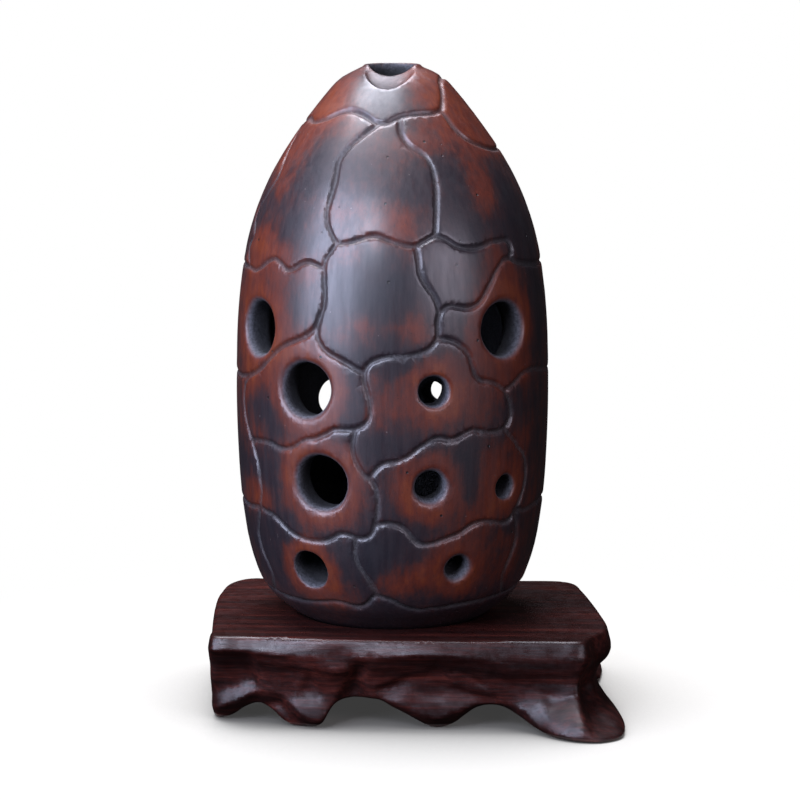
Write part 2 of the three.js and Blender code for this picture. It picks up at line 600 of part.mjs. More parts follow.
// The stand: one block of carved hardwood on its feet
function standBody() {
  let block = standBlock();
  const throughDepth = STAND_DEPTH * 2;
  const throughLength = STAND_LENGTH * 2;
  for (const rows of FRONT_ARCH_SHARES) {
    block = block.subtract(solid(archSolid(rows, STAND_LENGTH / 2, throughDepth)));
  }
  const endBar = archSolid(END_ARCH_SHARES, STAND_DEPTH / 2, throughLength);
  endBar.rotateZ(Math.PI / 2);
  block = block.subtract(solid(endBar));
  const mesh = new THREE.Mesh(geometryOf(block.subtract(seatSolid())), wood);
  mesh.name = 'stand';
  return mesh;
}

const stand = standBody();
const xun = xunBody();
xun.position.set(-SEAT_LEFT_OF_MIDDLE, SEAT_BEHIND_MIDDLE, STAND_HEIGHT - SEAT_DEPTH);
xun.rotation.z = radians(XUN_TURN_DEG);

// The origin is the middle of the footprint, on the surface that the feet stand on
const model = new THREE.Group();
model.add(stand, xun);
model.updateMatrixWorld(true);
const reach = new THREE.Box3().setFromObject(model, true);
model.position.set(-(reach.min.x + reach.max.x) / 2, -(reach.min.y + reach.max.y) / 2, 0);

export default model;
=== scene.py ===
# A fired clay xun, burnished and mottled like a turtle shell, on its carved hardwood stand.
# Blender works in metres. The shapes are worked out in millimetres, each from the middle of its base.
import math
import bpy
import numpy as np
import openvdb
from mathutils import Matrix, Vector


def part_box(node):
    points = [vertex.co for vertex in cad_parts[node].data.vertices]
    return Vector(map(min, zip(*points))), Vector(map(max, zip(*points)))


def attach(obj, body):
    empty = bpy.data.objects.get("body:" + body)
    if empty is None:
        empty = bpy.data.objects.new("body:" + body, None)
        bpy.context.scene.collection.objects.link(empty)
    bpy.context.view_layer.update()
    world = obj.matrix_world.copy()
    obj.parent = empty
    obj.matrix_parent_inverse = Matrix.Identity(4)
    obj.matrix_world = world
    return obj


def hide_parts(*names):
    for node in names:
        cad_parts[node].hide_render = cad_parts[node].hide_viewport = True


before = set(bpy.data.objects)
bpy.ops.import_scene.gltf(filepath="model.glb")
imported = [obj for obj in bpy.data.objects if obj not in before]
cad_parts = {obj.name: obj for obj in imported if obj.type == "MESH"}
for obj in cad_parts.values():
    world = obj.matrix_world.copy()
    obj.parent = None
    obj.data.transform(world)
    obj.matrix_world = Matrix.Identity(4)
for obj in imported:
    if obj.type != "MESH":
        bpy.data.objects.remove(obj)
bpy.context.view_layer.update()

MM = 0.001

# Clay shell, as in the solid
WALL = 6.5
FLOOR_THICKNESS = 8
ROOF_THICKNESS = 9
FOOT_RADIUS = 17
LIP_RISE = 0.7
XUN_TURN_DEG = -2.75
MOUTH_BORE = 10.4
MOUTH_RIM = 13
SCOOP_SET_FORWARD = 3.2
SCOOP_TILT_DEG = 27
LARGE_BORE = 11.3
MIDDLE_BORE = 8.2
SMALL_BORE = 6.3
TINY_BORE = 4.8
SOFT_ROUNDING = 1.8
PLAIN_ROUNDING = 1.1
CRISP_ROUNDING = 0.6

# Clay shell, with wear: a shallower hollow than the solid's, rounded edges, lines that wander a little
SCOOP_HALF_SIZE = (5.5, 10.8, 1.2)
SCOOP_LIFT = 1.0
SCOOP_ROUNDING = 0.3
BORE_WANDER = 0.12
SEAM_HALF_WIDTH = 0.57
SEAM_ROUNDING = 0.11
SEAM_WANDER_SHARE = 0.16
CHAMBER_ROUNDING = 0.2

# Stand, as in the solid
STAND_LENGTH = 86.4
STAND_DEPTH = 61.4
STAND_HEIGHT = 20
BEVEL_HEIGHT = 4
BEVEL_OUT = {"front": 1.8, "right": 1.1, "back": 1.5, "left": 0.6}
WAIST = {"front": 0.9, "right": 2.2, "back": 1.6, "left": -0.4}
FLARE_POWER = {"front": 1, "right": 5, "back": 1, "left": 1}
SEAT_DEPTH = 1.7
SEAT_LEFT_OF_MIDDLE = 3.7
SEAT_BEHIND_MIDDLE = 1
GAP = 0.3

# Stand, with wear: rounded edges
ARCH_ROUNDING = 0.9
SEAT_ROUNDING = 0.2

# Fineness of the two meshes
CLAY_VOXEL = 0.32
WOOD_VOXEL = 0.4
ADAPTIVITY = 0.03
SEAM_SAMPLE = 0.12
SEAM_REACH = 1.3
GRID_MARGIN = 2.4
BAND_VOXELS = 3

# Outside of the egg: height and radius as shares of the xun's height and radius
EGG_SHARES = (
    (0.012, 0.6), (0.03, 0.69), (0.05, 0.775), (0.074, 0.84), (0.1, 0.88), (0.14, 0.922),
    (0.19, 0.953), (0.25, 0.978), (0.325, 0.993), (0.4, 1), (0.47, 0.998), (0.545, 0.99),
    (0.62, 0.965), (0.69, 0.924), (0.745, 0.868), (0.8, 0.787), (0.85, 0.687), (0.89, 0.592),
    (0.925, 0.5), (0.955, 0.415), (0.977, 0.342), (0.992, 0.26),
)

# Air chamber: height and radius as shares of the chamber's own height and radius
CHAMBER_SHARES = (
    (0, 0.45), (0.03, 0.66), (0.08, 0.8), (0.16, 0.9), (0.28, 0.97), (0.42, 1), (0.56, 0.985),
    (0.68, 0.93), (0.78, 0.83), (0.86, 0.7), (0.92, 0.56), (0.96, 0.43), (0.99, 0.28),
)

# Finger holes and, last, the two thumb holes: azimuth in degrees, height share, bore, rounding
HOLE_PLACE_SHARES = (
    (-53, 0.55, LARGE_BORE, SOFT_ROUNDING),
    (51, 0.555, LARGE_BORE, SOFT_ROUNDING),
    (-27, 0.453, LARGE_BORE, SOFT_ROUNDING),
    (21, 0.455, SMALL_BORE, PLAIN_ROUNDING),
    (-21, 0.29, LARGE_BORE, SOFT_ROUNDING),
    (20, 0.287, SMALL_BORE, SOFT_ROUNDING),
    (-28.5, 0.128, MIDDLE_BORE, CRISP_ROUNDING),
    (32.5, 0.135, TINY_BORE, SOFT_ROUNDING),
    (52, 0.274, TINY_BORE, PLAIN_ROUNDING),
    (-146, 0.371, MIDDLE_BORE, PLAIN_ROUNDING),
    (166.5, 0.378, TINY_BORE, PLAIN_ROUNDING),
)

# Seams of the front: azimuth in degrees, height as a share of the xun's height
FRONT_SEAM_SHARES = {
    "collar": (
        (-90, 0.9), (-82, 0.905), (-72, 0.912), (-58, 0.907), (-47, 0.913), (-35, 0.925), (-25, 0.929),
        (-13, 0.921), (-5, 0.911), (3, 0.911), (9, 0.918), (16, 0.923), (28, 0.925), (38, 0.926),
        (45, 0.93),
    ),
    "crest": ((45, 0.93), (51, 0.945), (59, 0.963), (67, 0.976), (90, 0.984)),
    "shoulderRight": ((45, 0.93), (47, 0.915), (49, 0.9), (54, 0.882), (62, 0.87), (73, 0.86), (90, 0.855)),
    "sideLeft": (
        (-82, 0.905), (-72, 0.86), (-64, 0.815), (-67, 0.785), (-73, 0.755), (-73, 0.732), (-68, 0.71),
        (-71, 0.685), (-66, 0.651),
    ),
    "crownLeft": (
        (-16, 0.709), (-19, 0.726), (-21.5, 0.745), (-22.4, 0.765), (-22, 0.785), (-21.5, 0.81),
        (-22, 0.83), (-22, 0.848), (-19.5, 0.866), (-15.5, 0.88), (-10.5, 0.893), (-6, 0.903),
        (-3, 0.911),
    ),
    "crownRight": (
        (11, 0.92), (11, 0.9), (12.5, 0.886), (16, 0.872), (20, 0.864), (24, 0.853), (26, 0.838),
        (26.4, 0.82), (26.2, 0.8), (25.3, 0.78), (24.6, 0.76), (24, 0.745), (23.2, 0.722),
    ),
    "crownFoot": (
        (-16, 0.709), (-11, 0.711), (-7.3, 0.716), (-3.5, 0.722), (0, 0.723), (3.5, 0.718), (8, 0.711),
        (12, 0.706), (15, 0.706), (18, 0.712), (21, 0.719), (23.2, 0.722),
    ),
    "upperLeft": (
        (-90, 0.655), (-78, 0.65), (-66, 0.651), (-59, 0.648), (-54, 0.656), (-50, 0.667), (-45, 0.674),
        (-41, 0.667), (-37.5, 0.658), (-34, 0.662), (-31, 0.67), (-28, 0.674), (-24, 0.671),
        (-20.5, 0.665),
    ),
    "linkLeft": ((-16, 0.709), (-18, 0.695), (-20, 0.682), (-20.5, 0.665)),
    "upperRight": (
        (23.2, 0.722), (26.5, 0.718), (29, 0.711), (32, 0.703), (36, 0.699), (40, 0.698), (44, 0.701),
        (48, 0.706), (52, 0.707), (58, 0.705), (59.5, 0.69), (57.5, 0.676),
    ),
    "flankRight": ((57.5, 0.676), (61, 0.669), (65, 0.664), (70, 0.66), (78, 0.656), (90, 0.655)),
    "slopeRight": (
        (57.5, 0.676), (54, 0.675), (51.5, 0.667), (48.6, 0.655), (46, 0.64), (43.5, 0.626),
        (41, 0.611), (38.5, 0.602), (35, 0.597), (31, 0.599), (28, 0.602), (26, 0.6), (24.3, 0.594),
        (23.2, 0.588),
    ),
    "heartRight": (
        (15, 0.706), (15.8, 0.69), (16, 0.675), (16.4, 0.66), (17.6, 0.647), (19.3, 0.634),
        (21.2, 0.62), (22.6, 0.604), (23.2, 0.588), (22.6, 0.575), (22.6, 0.56), (22.4, 0.547),
    ),
    "heartFoot": (
        (22.4, 0.547), (20.8, 0.536), (18.5, 0.527), (15, 0.521), (10, 0.518), (5, 0.517), (2, 0.514),
        (-1, 0.508), (-3, 0.499), (-4, 0.488),
    ),
    "heartLeft": (
        (-20.5, 0.665), (-20.2, 0.65), (-19.7, 0.635), (-19.5, 0.618), (-19.7, 0.603), (-20.4, 0.59),
        (-21.3, 0.578), (-22, 0.567),
    ),
    "chestLeft": (
        (-4, 0.488), (-7, 0.495), (-10, 0.503), (-13, 0.51), (-16, 0.517), (-18.5, 0.524),
        (-20.5, 0.535), (-22, 0.55), (-22, 0.567),
    ),
    "middleLeft": (
        (-22, 0.567), (-24, 0.556), (-27, 0.546), (-31, 0.538), (-35, 0.53), (-38.5, 0.521),
        (-42, 0.509), (-45.5, 0.495), (-49, 0.482), (-53.5, 0.47), (-59.5, 0.461), (-65, 0.457),
        (-76, 0.455), (-90, 0.46),
    ),
    "middleRight": (
        (22.4, 0.547), (25, 0.545), (28, 0.541), (30.5, 0.534), (33, 0.524), (34.6, 0.512), (35.4, 0.5),
        (36.3, 0.488), (37.5, 0.476), (39.5, 0.469), (42.5, 0.466), (45.3, 0.462), (48, 0.455),
        (50.5, 0.447),
    ),
    "wingRight": (
        (50.5, 0.447), (54, 0.453), (57, 0.461), (60, 0.469), (64, 0.474), (70, 0.474), (78, 0.468),
        (90, 0.46),
    ),
    "ribRight": ((50.5, 0.447), (52.3, 0.434), (53.4, 0.416), (53.5, 0.4), (52.2, 0.388), (50.5, 0.379)),
    "ribLeft": (
        (-59.5, 0.461), (-63, 0.442), (-64, 0.42), (-63.5, 0.398), (-62, 0.38), (-59.5, 0.36),
        (-57.5, 0.346), (-54.5, 0.325), (-52.7, 0.305), (-52, 0.285), (-51.5, 0.262), (-52.3, 0.245),
        (-54, 0.226),
    ),
    "spineUpper": (
        (-4, 0.488), (-3.9, 0.475), (-3.3, 0.462), (-2.5, 0.448), (-2, 0.435), (-1.8, 0.422),
        (-2.2, 0.41), (-3.5, 0.4), (-5.3, 0.393), (-7.3, 0.389),
    ),
    "spineMiddle": (
        (-7.3, 0.389), (-7.8, 0.377), (-8.3, 0.363), (-8.2, 0.349), (-7.3, 0.334), (-5.8, 0.32),
        (-4, 0.309), (-2, 0.303),
    ),
    "spineLower": (
        (-2, 0.303), (-0.3, 0.29), (0.7, 0.275), (0.8, 0.258), (0.6, 0.243), (0.2, 0.23), (-0.3, 0.218),
    ),
    "flankLowRight": (
        (50.5, 0.379), (53, 0.367), (56.5, 0.353), (59, 0.34), (62, 0.328), (64, 0.31), (64.5, 0.29),
        (63.5, 0.265), (61.5, 0.245), (59, 0.225),
    ),
    "hipRight": (
        (-0.3, 0.218), (1.2, 0.221), (4, 0.223), (7, 0.221), (9.5, 0.216), (11.5, 0.208), (13.3, 0.198),
        (15, 0.189), (17, 0.184), (20, 0.184), (23, 0.187), (26, 0.191), (29, 0.195), (31.8, 0.199),
        (33.8, 0.205), (36, 0.211), (38.5, 0.215), (42, 0.217), (46, 0.214), (50, 0.21), (53.5, 0.208),
        (56.5, 0.213), (59, 0.225), (66, 0.222), (76, 0.225), (90, 0.228),
    ),
    "hipLeft": (
        (-0.3, 0.218), (-1.2, 0.208), (-2.5, 0.199), (-4.5, 0.195), (-7.5, 0.196), (-9.5, 0.199),
        (-12, 0.201), (-14, 0.2), (-16, 0.195), (-18.5, 0.189), (-21.5, 0.185), (-25, 0.184),
        (-28.5, 0.185), (-32, 0.188), (-35, 0.193), (-37.5, 0.199), (-40, 0.207), (-42.5, 0.214),
        (-45, 0.219), (-48.5, 0.222), (-54, 0.226), (-64, 0.222), (-76, 0.226), (-90, 0.228),
    ),
    "tailMiddle": (
        (-7.5, 0.196), (-8, 0.18), (-8, 0.165), (-7.5, 0.152), (-6.2, 0.139), (-4.5, 0.126),
        (-2.6, 0.112), (-1, 0.098), (-0.6, 0.087),
    ),
    "tailLeft": (
        (-54, 0.226), (-56, 0.204), (-58, 0.182), (-58, 0.163), (-57, 0.143), (-55, 0.124),
        (-54, 0.105), (-56, 0.085), (-60, 0.066),
    ),
    "tailRight": ((59, 0.225), (61, 0.2), (62, 0.17), (60, 0.14), (58, 0.11), (60, 0.085), (64, 0.066)),
    "hem": (
        (-90, 0.07), (-75, 0.068), (-60, 0.066), (-40, 0.062), (-28, 0.066), (-20, 0.071), (-15, 0.069),
        (-11, 0.064), (-7.5, 0.065), (-5, 0.071), (-2.4, 0.083), (-0.6, 0.087), (3, 0.083),
        (6.5, 0.077), (9, 0.07), (12, 0.064), (15, 0.06), (18.5, 0.057), (23, 0.059), (28, 0.059),
        (36, 0.062), (50, 0.064), (64, 0.066), (76, 0.069), (90, 0.07),
    ),
}

FRONT_BELLY_SHARES = {
    "bellyRight": (
        (50.5, 0.379), (46, 0.376), (42, 0.377), (39, 0.38), (36, 0.383), (33.7, 0.38), (30.5, 0.373),
        (27.6, 0.369), (24.8, 0.371), (22.6, 0.373), (20, 0.37), (18, 0.364), (15, 0.355),
        (12.5, 0.345), (10, 0.338), (7, 0.333), (4, 0.331), (1.5, 0.325), (-0.5, 0.315), (-2, 0.303),
    ),
    "bellyLeft": (
        (-7.3, 0.389), (-10, 0.388), (-13, 0.388), (-15.5, 0.386), (-17.5, 0.38), (-20, 0.374),
        (-23, 0.368), (-26, 0.366), (-29, 0.359), (-31.5, 0.351), (-34.5, 0.346), (-37.5, 0.344),
        (-40.5, 0.346), (-44, 0.35), (-50, 0.35), (-57.5, 0.346),
    ),
}

BACK_BELLY_SHARES = {
    "bellyRight": (
        (50.5, 0.379), (42, 0.377), (36, 0.383), (30.5, 0.373), (26, 0.36), (21, 0.345), (15, 0.335),
        (10, 0.331), (5, 0.328), (1.5, 0.322), (-2, 0.303),
    ),
    "bellyLeft": (
        (-7.3, 0.389), (-12, 0.38), (-17, 0.36), (-22, 0.335), (-30, 0.318), (-38, 0.314), (-45, 0.325),
        (-50, 0.34), (-57.5, 0.346),
    ),
}
# Fire marks on the front: azimuth and its reach in degrees, height share and its reach, then how warm
# the clay turned, from 1 for orange red to -1 for smoked black
FIRE_MARK_SHARES = (
    (-47, 17, 0.942, 0.026, 0.8), (0, 23, 0.949, 0.027, -0.6), (43, 18, 0.956, 0.03, 0.7),
    (74, 40, 0.927, 0.035, 0.75), (-57, 16, 0.867, 0.025, 0.6), (-35, 8, 0.846, 0.026, -0.8),
    (-52, 7, 0.808, 0.036, 0.5), (-56, 9, 0.764, 0.023, -0.4), (-16, 7, 0.815, 0.023, -0.5),
    (-11, 6, 0.752, 0.02, 0.35), (5, 6, 0.74, 0.02, 0.6), (8, 9, 0.899, 0.023, 0.1),
    (18, 4, 0.791, 0.023, -0.3), (43, 8, 0.888, 0.02, 0.45), (34, 5, 0.773, 0.042, -0.7),
    (52, 5, 0.794, 0.026, 0.9), (64, 8, 0.748, 0.043, -0.9), (41, 6, 0.721, 0.02, -0.7),
    (-53, 8, 0.695, 0.024, 1), (-59, 7, 0.658, 0.017, 0.5), (-39, 5, 0.731, 0.023, -0.6),
    (-23, 5, 0.713, 0.02, -0.3), (-31, 6, 0.669, 0.017, 0.4), (-43, 5, 0.577, 0.035, 0.9),
    (-75, 16, 0.586, 0.023, 0.4), (-29, 6, 0.601, 0.021, -0.4), (-33, 6, 0.547, 0.021, 0.35),
    (-10, 5, 0.631, 0.034, -0.8), (6, 8, 0.641, 0.034, -1), (-12, 5, 0.69, 0.017, 0.4),
    (-7, 4, 0.566, 0.021, 0.55), (13, 4, 0.56, 0.021, 0.7), (11, 5, 0.691, 0.017, 0.4),
    (-4, 5, 0.529, 0.014, -0.6), (7, 5, 0.516, 0.017, -0.8), (28, 8, 0.661, 0.043, -0.6),
    (48, 4, 0.693, 0.024, 0.7), (41, 5, 0.626, 0.02, 0.5), (30, 6, 0.569, 0.021, -0.3),
    (38, 5, 0.555, 0.017, 0.6), (59, 5, 0.531, 0.035, 0.9), (56, 6, 0.638, 0.021, 0.8),
    (69, 7, 0.615, 0.069, -0.6), (-50, 6, 0.477, 0.025, 0.7), (-45, 6, 0.412, 0.018, -0.7),
    (-58, 7, 0.364, 0.026, 0.4), (-8, 5, 0.441, 0.024, -0.7), (2, 4, 0.464, 0.021, 0.1),
    (3, 5, 0.417, 0.021, 0.5), (2, 5, 0.359, 0.021, -0.6), (14, 5, 0.512, 0.021, -0.8),
    (31, 5, 0.448, 0.021, 0.5), (18, 4, 0.398, 0.021, 0.5), (33, 5, 0.499, 0.017, 0.2),
    (43, 6, 0.43, 0.021, 0.3), (18, 4, 0.372, 0.018, -0.6), (50, 5, 0.483, 0.021, 0.7),
    (56, 6, 0.409, 0.021, -0.6), (59, 5, 0.372, 0.022, 0.5), (-57, 8, 0.301, 0.022, -0.6),
    (-55, 6, 0.257, 0.023, 0.6), (-34, 4, 0.314, 0.021, 0.6), (-41, 4, 0.313, 0.022, -0.6),
    (-7, 4, 0.274, 0.025, -0.4), (2, 4, 0.341, 0.018, -0.6), (8, 4, 0.32, 0.018, 0.5),
    (7, 5, 0.267, 0.022, -0.4), (33, 3, 0.297, 0.036, -0.7), (45, 4, 0.291, 0.025, 0.6),
    (20, 5, 0.229, 0.018, -0.2), (-48, 7, 0.19, 0.027, -0.6), (-12, 5, 0.173, 0.026, -0.5),
    (2, 5, 0.185, 0.029, -0.8), (9, 5, 0.12, 0.015, 0.9), (13, 4, 0.203, 0.022, -0.5),
    (27, 5, 0.181, 0.022, 0.4), (40, 6, 0.221, 0.022, 0.6), (59, 7, 0.144, 0.024, 0.5),
    # The last mark, darker all round the foot, is painted shade
    (-22, 7, 0.074, 0.018, 0.6), (0, 70, 0.025, 0.02, -0.2),
)

# Stand outlines, anticlockwise from the front left corner: the top edge and the sole line,
# each as shares of half the stand's length and depth
STAND_OUTLINE_SHARES = (
    (-0.93, -0.93, -0.93, -0.74), (-0.78, -0.94, -0.82, -0.82), (-0.64, -0.95, -0.66, -0.9),
    (-0.43, -0.985, -0.45, -0.96), (-0.17, -0.995, -0.17, -0.94), (0.09, -1, 0.12, -0.93),
    (0.34, -0.995, 0.36, -0.93), (0.56, -0.985, 0.6, -0.97), (0.76, -0.98, 0.79, -1.15),
    (0.885, -0.965, 0.93, -1.22), (0.925, -0.8, 1.06, -1.1), (0.985, -0.66, 1.085, -0.85),
    (1, -0.45, 1.06, -0.5), (0.963, -0.02, 0.99, -0.02), (0.915, 0.4, 0.97, 0.46),
    (0.875, 0.7, 0.98, 0.82), (0.835, 0.92, 0.95, 1.06), (0.76, 1, 0.82, 1.12),
    (0.5, 1, 0.52, 1), (0.2, 1, 0.2, 0.95), (-0.1, 1, -0.1, 0.94), (-0.45, 0.995, -0.46, 0.96),
    (-0.72, 0.99, -0.76, 1.02), (-0.89, 0.965, -0.96, 1.02), (-0.97, 0.82, -1.02, 0.84),
    (-1, 0.45, -0.99, 0.45), (-0.993, 0.06, -0.95, 0.06), (-0.963, -0.42, -0.93, -0.4),
    (-0.945, -0.72, -0.955, -0.58),
)

# Stand wall under the bevel: height share, how far from the top line to the sole line, how much of
# the waist, how much of the bevel's overhang
STAND_WALL_SHARES = (
    (0, 1, 0, 0), (0.05, 1, 0, 0.35), (0.14, 0.9, 0.1, 0.4), (0.26, 0.66, 0.45, 0.2),
    (0.38, 0.4, 0.85, 0), (0.5, 0.2, 1, 0), (0.62, 0.08, 0.7, 0.1), (0.72, 0.02, 0.2, 0.75),
)

# Lower edge of the worn bevel: place along the length as a share of half the length, height share
BEVEL_FOOT_SHARES = (
    (-1, 0.806), (-0.787, 0.822), (-0.69, 0.817), (-0.567, 0.801), (-0.494, 0.781), (-0.42, 0.76),
    (-0.37, 0.732), (-0.313, 0.703), (-0.25, 0.728), (-0.2, 0.767), (-0.1, 0.804), (0, 0.826),
    (0.07, 0.844), (0.19, 0.853), (0.286, 0.834), (0.383, 0.8), (0.456, 0.771), (0.505, 0.735),
    (0.58, 0.737), (0.72, 0.757), (0.82, 0.772), (1, 0.785),
)

# Clear line under the front and the back of the stand: place along the length as a share of half
# the length, height above the sole as a share of the stand's height
FRONT_ARCH_SHARES = (
    ((-0.9, 0), (-0.84, 0.07), (-0.78, 0.17), (-0.71, 0.225), (-0.65, 0.17), (-0.59, 0.06), (-0.55, 0)),
    ((-0.42, 0), (-0.39, 0.06), (-0.365, 0.16), (-0.33, 0.27), (-0.28, 0.31), (-0.2, 0.325),
     (-0.11, 0.315), (-0.05, 0.23), (0.02, 0.15), (0.08, 0.07), (0.13, 0)),
    ((0.21, 0), (0.26, 0.06), (0.31, 0.15), (0.36, 0.23), (0.42, 0.265), (0.49, 0.25), (0.56, 0.17),
     (0.64, 0.07), (0.72, 0)),
)

# Clear line under the two ends: place along the depth as a share of half the depth, height as above
END_ARCH_SHARES = ((-0.5, 0), (-0.42, 0.12), (-0.3, 0.24), (0, 0.3), (0.3, 0.24), (0.42, 0.12), (0.5, 0))

# Lines carved into the front of the stand. The wall steps in to the right of each line's direction:
# depth as a share of the deepest carving, reach of the step in millimetres, then places along the
# front (share of half the length) and up it (share of the height)
CARVED_STEP_SHARES = (
    (0.28, 2.8, ((-0.95, 0.8), (-0.6, 0.795), (-0.35, 0.765), (-0.1, 0.78), (0.1, 0.8), (0.3, 0.775),
                (0.55, 0.755), (0.8, 0.77), (0.97, 0.78))),
    (0.24, 1.5, ((-0.47, 0.6), (-0.49, 0.66), (-0.56, 0.68), (-0.66, 0.676), (-0.78, 0.668))),
    (0.5, 6, ((-0.15, 0.46), (-0.088, 0.485), (-0.03, 0.547), (0.028, 0.6), (0.115, 0.6), (0.183, 0.536),
              (0.265, 0.482), (0.352, 0.43), (0.42, 0.386), (0.5, 0.37))),
    (0.4, 1.4, ((0.44, 0.47), (0.4, 0.5), (0.36, 0.54), (0.299, 0.61), (0.24, 0.655), (0.17, 0.68))),
    (0.35, 1.5, ((0.6, 0.57), (0.7, 0.552), (0.8, 0.548), (0.9, 0.55))),
)

# Lines below which the wall runs in under the stand, in the same form
CARVED_UNDER_SHARES = (
    (1.0, 3.2, ((-1.05, 0.15), (-0.97, 0.17), (-0.9, 0.212), (-0.82, 0.3), (-0.74, 0.4), (-0.667, 0.385),
                (-0.579, 0.389), (-0.535, 0.3), (-0.49, 0.2), (-0.4, 0.13), (-0.33, 0.2), (-0.26, 0.36),
                (-0.1, 0.36), (0.0, 0.3), (0.08, 0.22), (0.169, 0.17), (0.26, 0.24), (0.36, 0.35),
                (0.5, 0.36), (0.6, 0.26), (0.68, 0.12), (0.8, 0.04), (0.95, 0.0))),
)

# Lines above which the wall runs in toward the waist, in the same form
CARVED_RISE_SHARES = (
    (0.8, 5, ((-0.68, 0.3), (-0.74, 0.28), (-0.8, 0.22), (-0.87, 0.15), (-0.93, 0.08), (-1.02, 0.02))),
    (0.35, 3.0, ((-0.34, 0.3), (-0.4, 0.23), (-0.48, 0.24), (-0.56, 0.34))),
    (0.4, 3.0, ((0.3, 0.32), (0.22, 0.26), (0.14, 0.25), (0.06, 0.3), (0.0, 0.38))),
)

# Hollows in the front: depth as a share of the deepest carving, how far in from the edge it gets
# that deep in millimetres, then the outline in the same shares
CARVED_HOLLOW_SHARES = (
    (1.0, 4, ((-0.31, 0.79), (-0.233, 0.84), (-0.15, 0.8), (-0.13, 0.665), (-0.16, 0.56), (-0.15, 0.44),
              (-0.12, 0.3), (-0.2, 0.2), (-0.33, 0.2), (-0.36, 0.33), (-0.33, 0.45), (-0.3, 0.56),
              (-0.29, 0.68))),
    (0.5, 3.6, ((0.59, 0.52), (0.72, 0.56), (0.84, 0.56), (0.96, 0.54), (0.97, 0.4), (0.92, 0.3),
                (0.84, 0.24), (0.76, 0.16), (0.71, 0.14), (0.68, 0.24), (0.63, 0.4))),
)

# Lines

SPAN_STEPS = 8
PROFILE_STEPS = 12
STAND_RING_STEPS = 14
TINY = 1e-6


def smooth_line(points, per_span, closed=False):
    """Centripetal Catmull-Rom line through rows of coordinates, per_span points for each span."""
    rows = np.asarray(points, float)
    if closed:
        rows = np.vstack([rows[-1:], rows, rows[:2]])
    else:
        rows = np.vstack([2 * rows[0] - rows[1], rows, 2 * rows[-1] - rows[-2]])
    before, start, end, after = rows[:-3], rows[1:-2], rows[2:-1], rows[3:]
    lead = np.sqrt(np.linalg.norm(start - before, axis=1))[:, None]
    span = np.sqrt(np.linalg.norm(end - start, axis=1))[:, None]
    trail = np.sqrt(np.linalg.norm(after - end, axis=1))[:, None]
    leave = ((start - before) / lead - (end - before) / (lead + span) + (end - start) / span) * span
    reach = ((end - start) / span - (after - start) / (span + trail) + (after - end) / trail) * span
    line = []
    for t in np.arange(per_span) / per_span:
        line.append((2 * t**3 - 3 * t**2 + 1) * start + (t**3 - 2 * t**2 + t) * leave
                    + (3 * t**2 - 2 * t**3) * end + (t**3 - t**2) * reach)
    line = np.stack(line, axis=1).reshape(-1, rows.shape[1])
    return line if closed else np.vstack([line, rows[-2:-1]])


def evenly(line, step):
    """The same line with its points a given step apart."""
    lengths = np.concatenate([[0], np.cumsum(np.linalg.norm(np.diff(line, axis=0), axis=1))])
    count = max(2, int(round(lengths[-1] / step)))
    at = np.linspace(0, lengths[-1], count + 1)
    return np.stack([np.interp(at, lengths, line[:, column]) for column in range(line.shape[1])], axis=1)


def unit(rows):
    """Each row as a direction of length 1."""
    return rows / np.maximum(np.linalg.norm(rows, axis=-1, keepdims=True), TINY)


def lattice(*axes):
    """The places where rows of coordinates cross."""
    return np.stack(np.meshgrid(*axes, indexing="ij"), axis=-1)


def turned_about_z(places, degrees):
    """Places turned round the upright axis."""
    turn = math.radians(degrees)
    across = math.cos(turn) * places[:, 0] - math.sin(turn) * places[:, 1]
    along = math.sin(turn) * places[:, 0] + math.cos(turn) * places[:, 1]
    return np.stack([across, along, places[:, 2]], axis=1)


# Places on the egg

LOW, HIGH = (np.array(corner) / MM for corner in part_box("xun_body"))
XUN_HEIGHT = HIGH[2] - LOW[2] - LIP_RISE
XUN_RADIUS = (HIGH[0] - LOW[0] + HIGH[1] - LOW[1]) / 4
AXIS = np.array([(LOW[0] + HIGH[0]) / 2, (LOW[1] + HIGH[1]) / 2, LOW[2]])
SLOPE_STEP_SHARE = 0.002

EGG_LINE = smooth_line(
    [(0, FOOT_RADIUS), *((up * XUN_HEIGHT, out * XUN_RADIUS) for up, out in EGG_SHARES),
     (XUN_HEIGHT, MOUTH_RIM / 2)], PROFILE_STEPS)


def egg_radius(height):
    return np.interp(height, EGG_LINE[:, 0], EGG_LINE[:, 1])


def on_egg(azimuth, share):
    """Points on the egg, in millimetres from the middle of its base, and the directions out of it."""
    azimuth = np.radians(np.asarray(azimuth, float))
    height = np.asarray(share, float) * XUN_HEIGHT
    radius = egg_radius(height)
    step = XUN_HEIGHT * SLOPE_STEP_SHARE
    slope = (egg_radius(height + step) - egg_radius(height - step)) / (2 * step)
    side = np.stack([np.sin(azimuth), -np.cos(azimuth)], axis=-1)
    point = np.concatenate([side * radius[..., None], height[..., None]], axis=-1)
    out = np.concatenate([side, -slope[..., None]], axis=-1)
    return point, unit(out)


def seam_lines():
    """Every seam of the shell as points on the egg."""
    front = list(FRONT_SEAM_SHARES.values()) + list(FRONT_BELLY_SHARES.values())
    back = list(FRONT_SEAM_SHARES.values()) + list(BACK_BELLY_SHARES.values())
    rows = front + [tuple((180 - azimuth, share) for azimuth, share in line) for line in back]
    scale = np.array([math.radians(1) * XUN_RADIUS, XUN_HEIGHT])
    lines = []
    for row in rows:
        flat = evenly(smooth_line(np.array(row) * scale, SPAN_STEPS), SEAM_SAMPLE) / scale
        lines.append(on_egg(flat[:, 0], flat[:, 1])[0])
    return lines


# Solids as distances

WAVE_OCTAVES = 3
WAVES_PER_OCTAVE = 4
WAVE_GROWTH = 1.7
WAVE_FADE = 1.6
FAR_AWAY = 9
RADII_PER_VOXEL = 4
WINDOW_MARGIN = 1

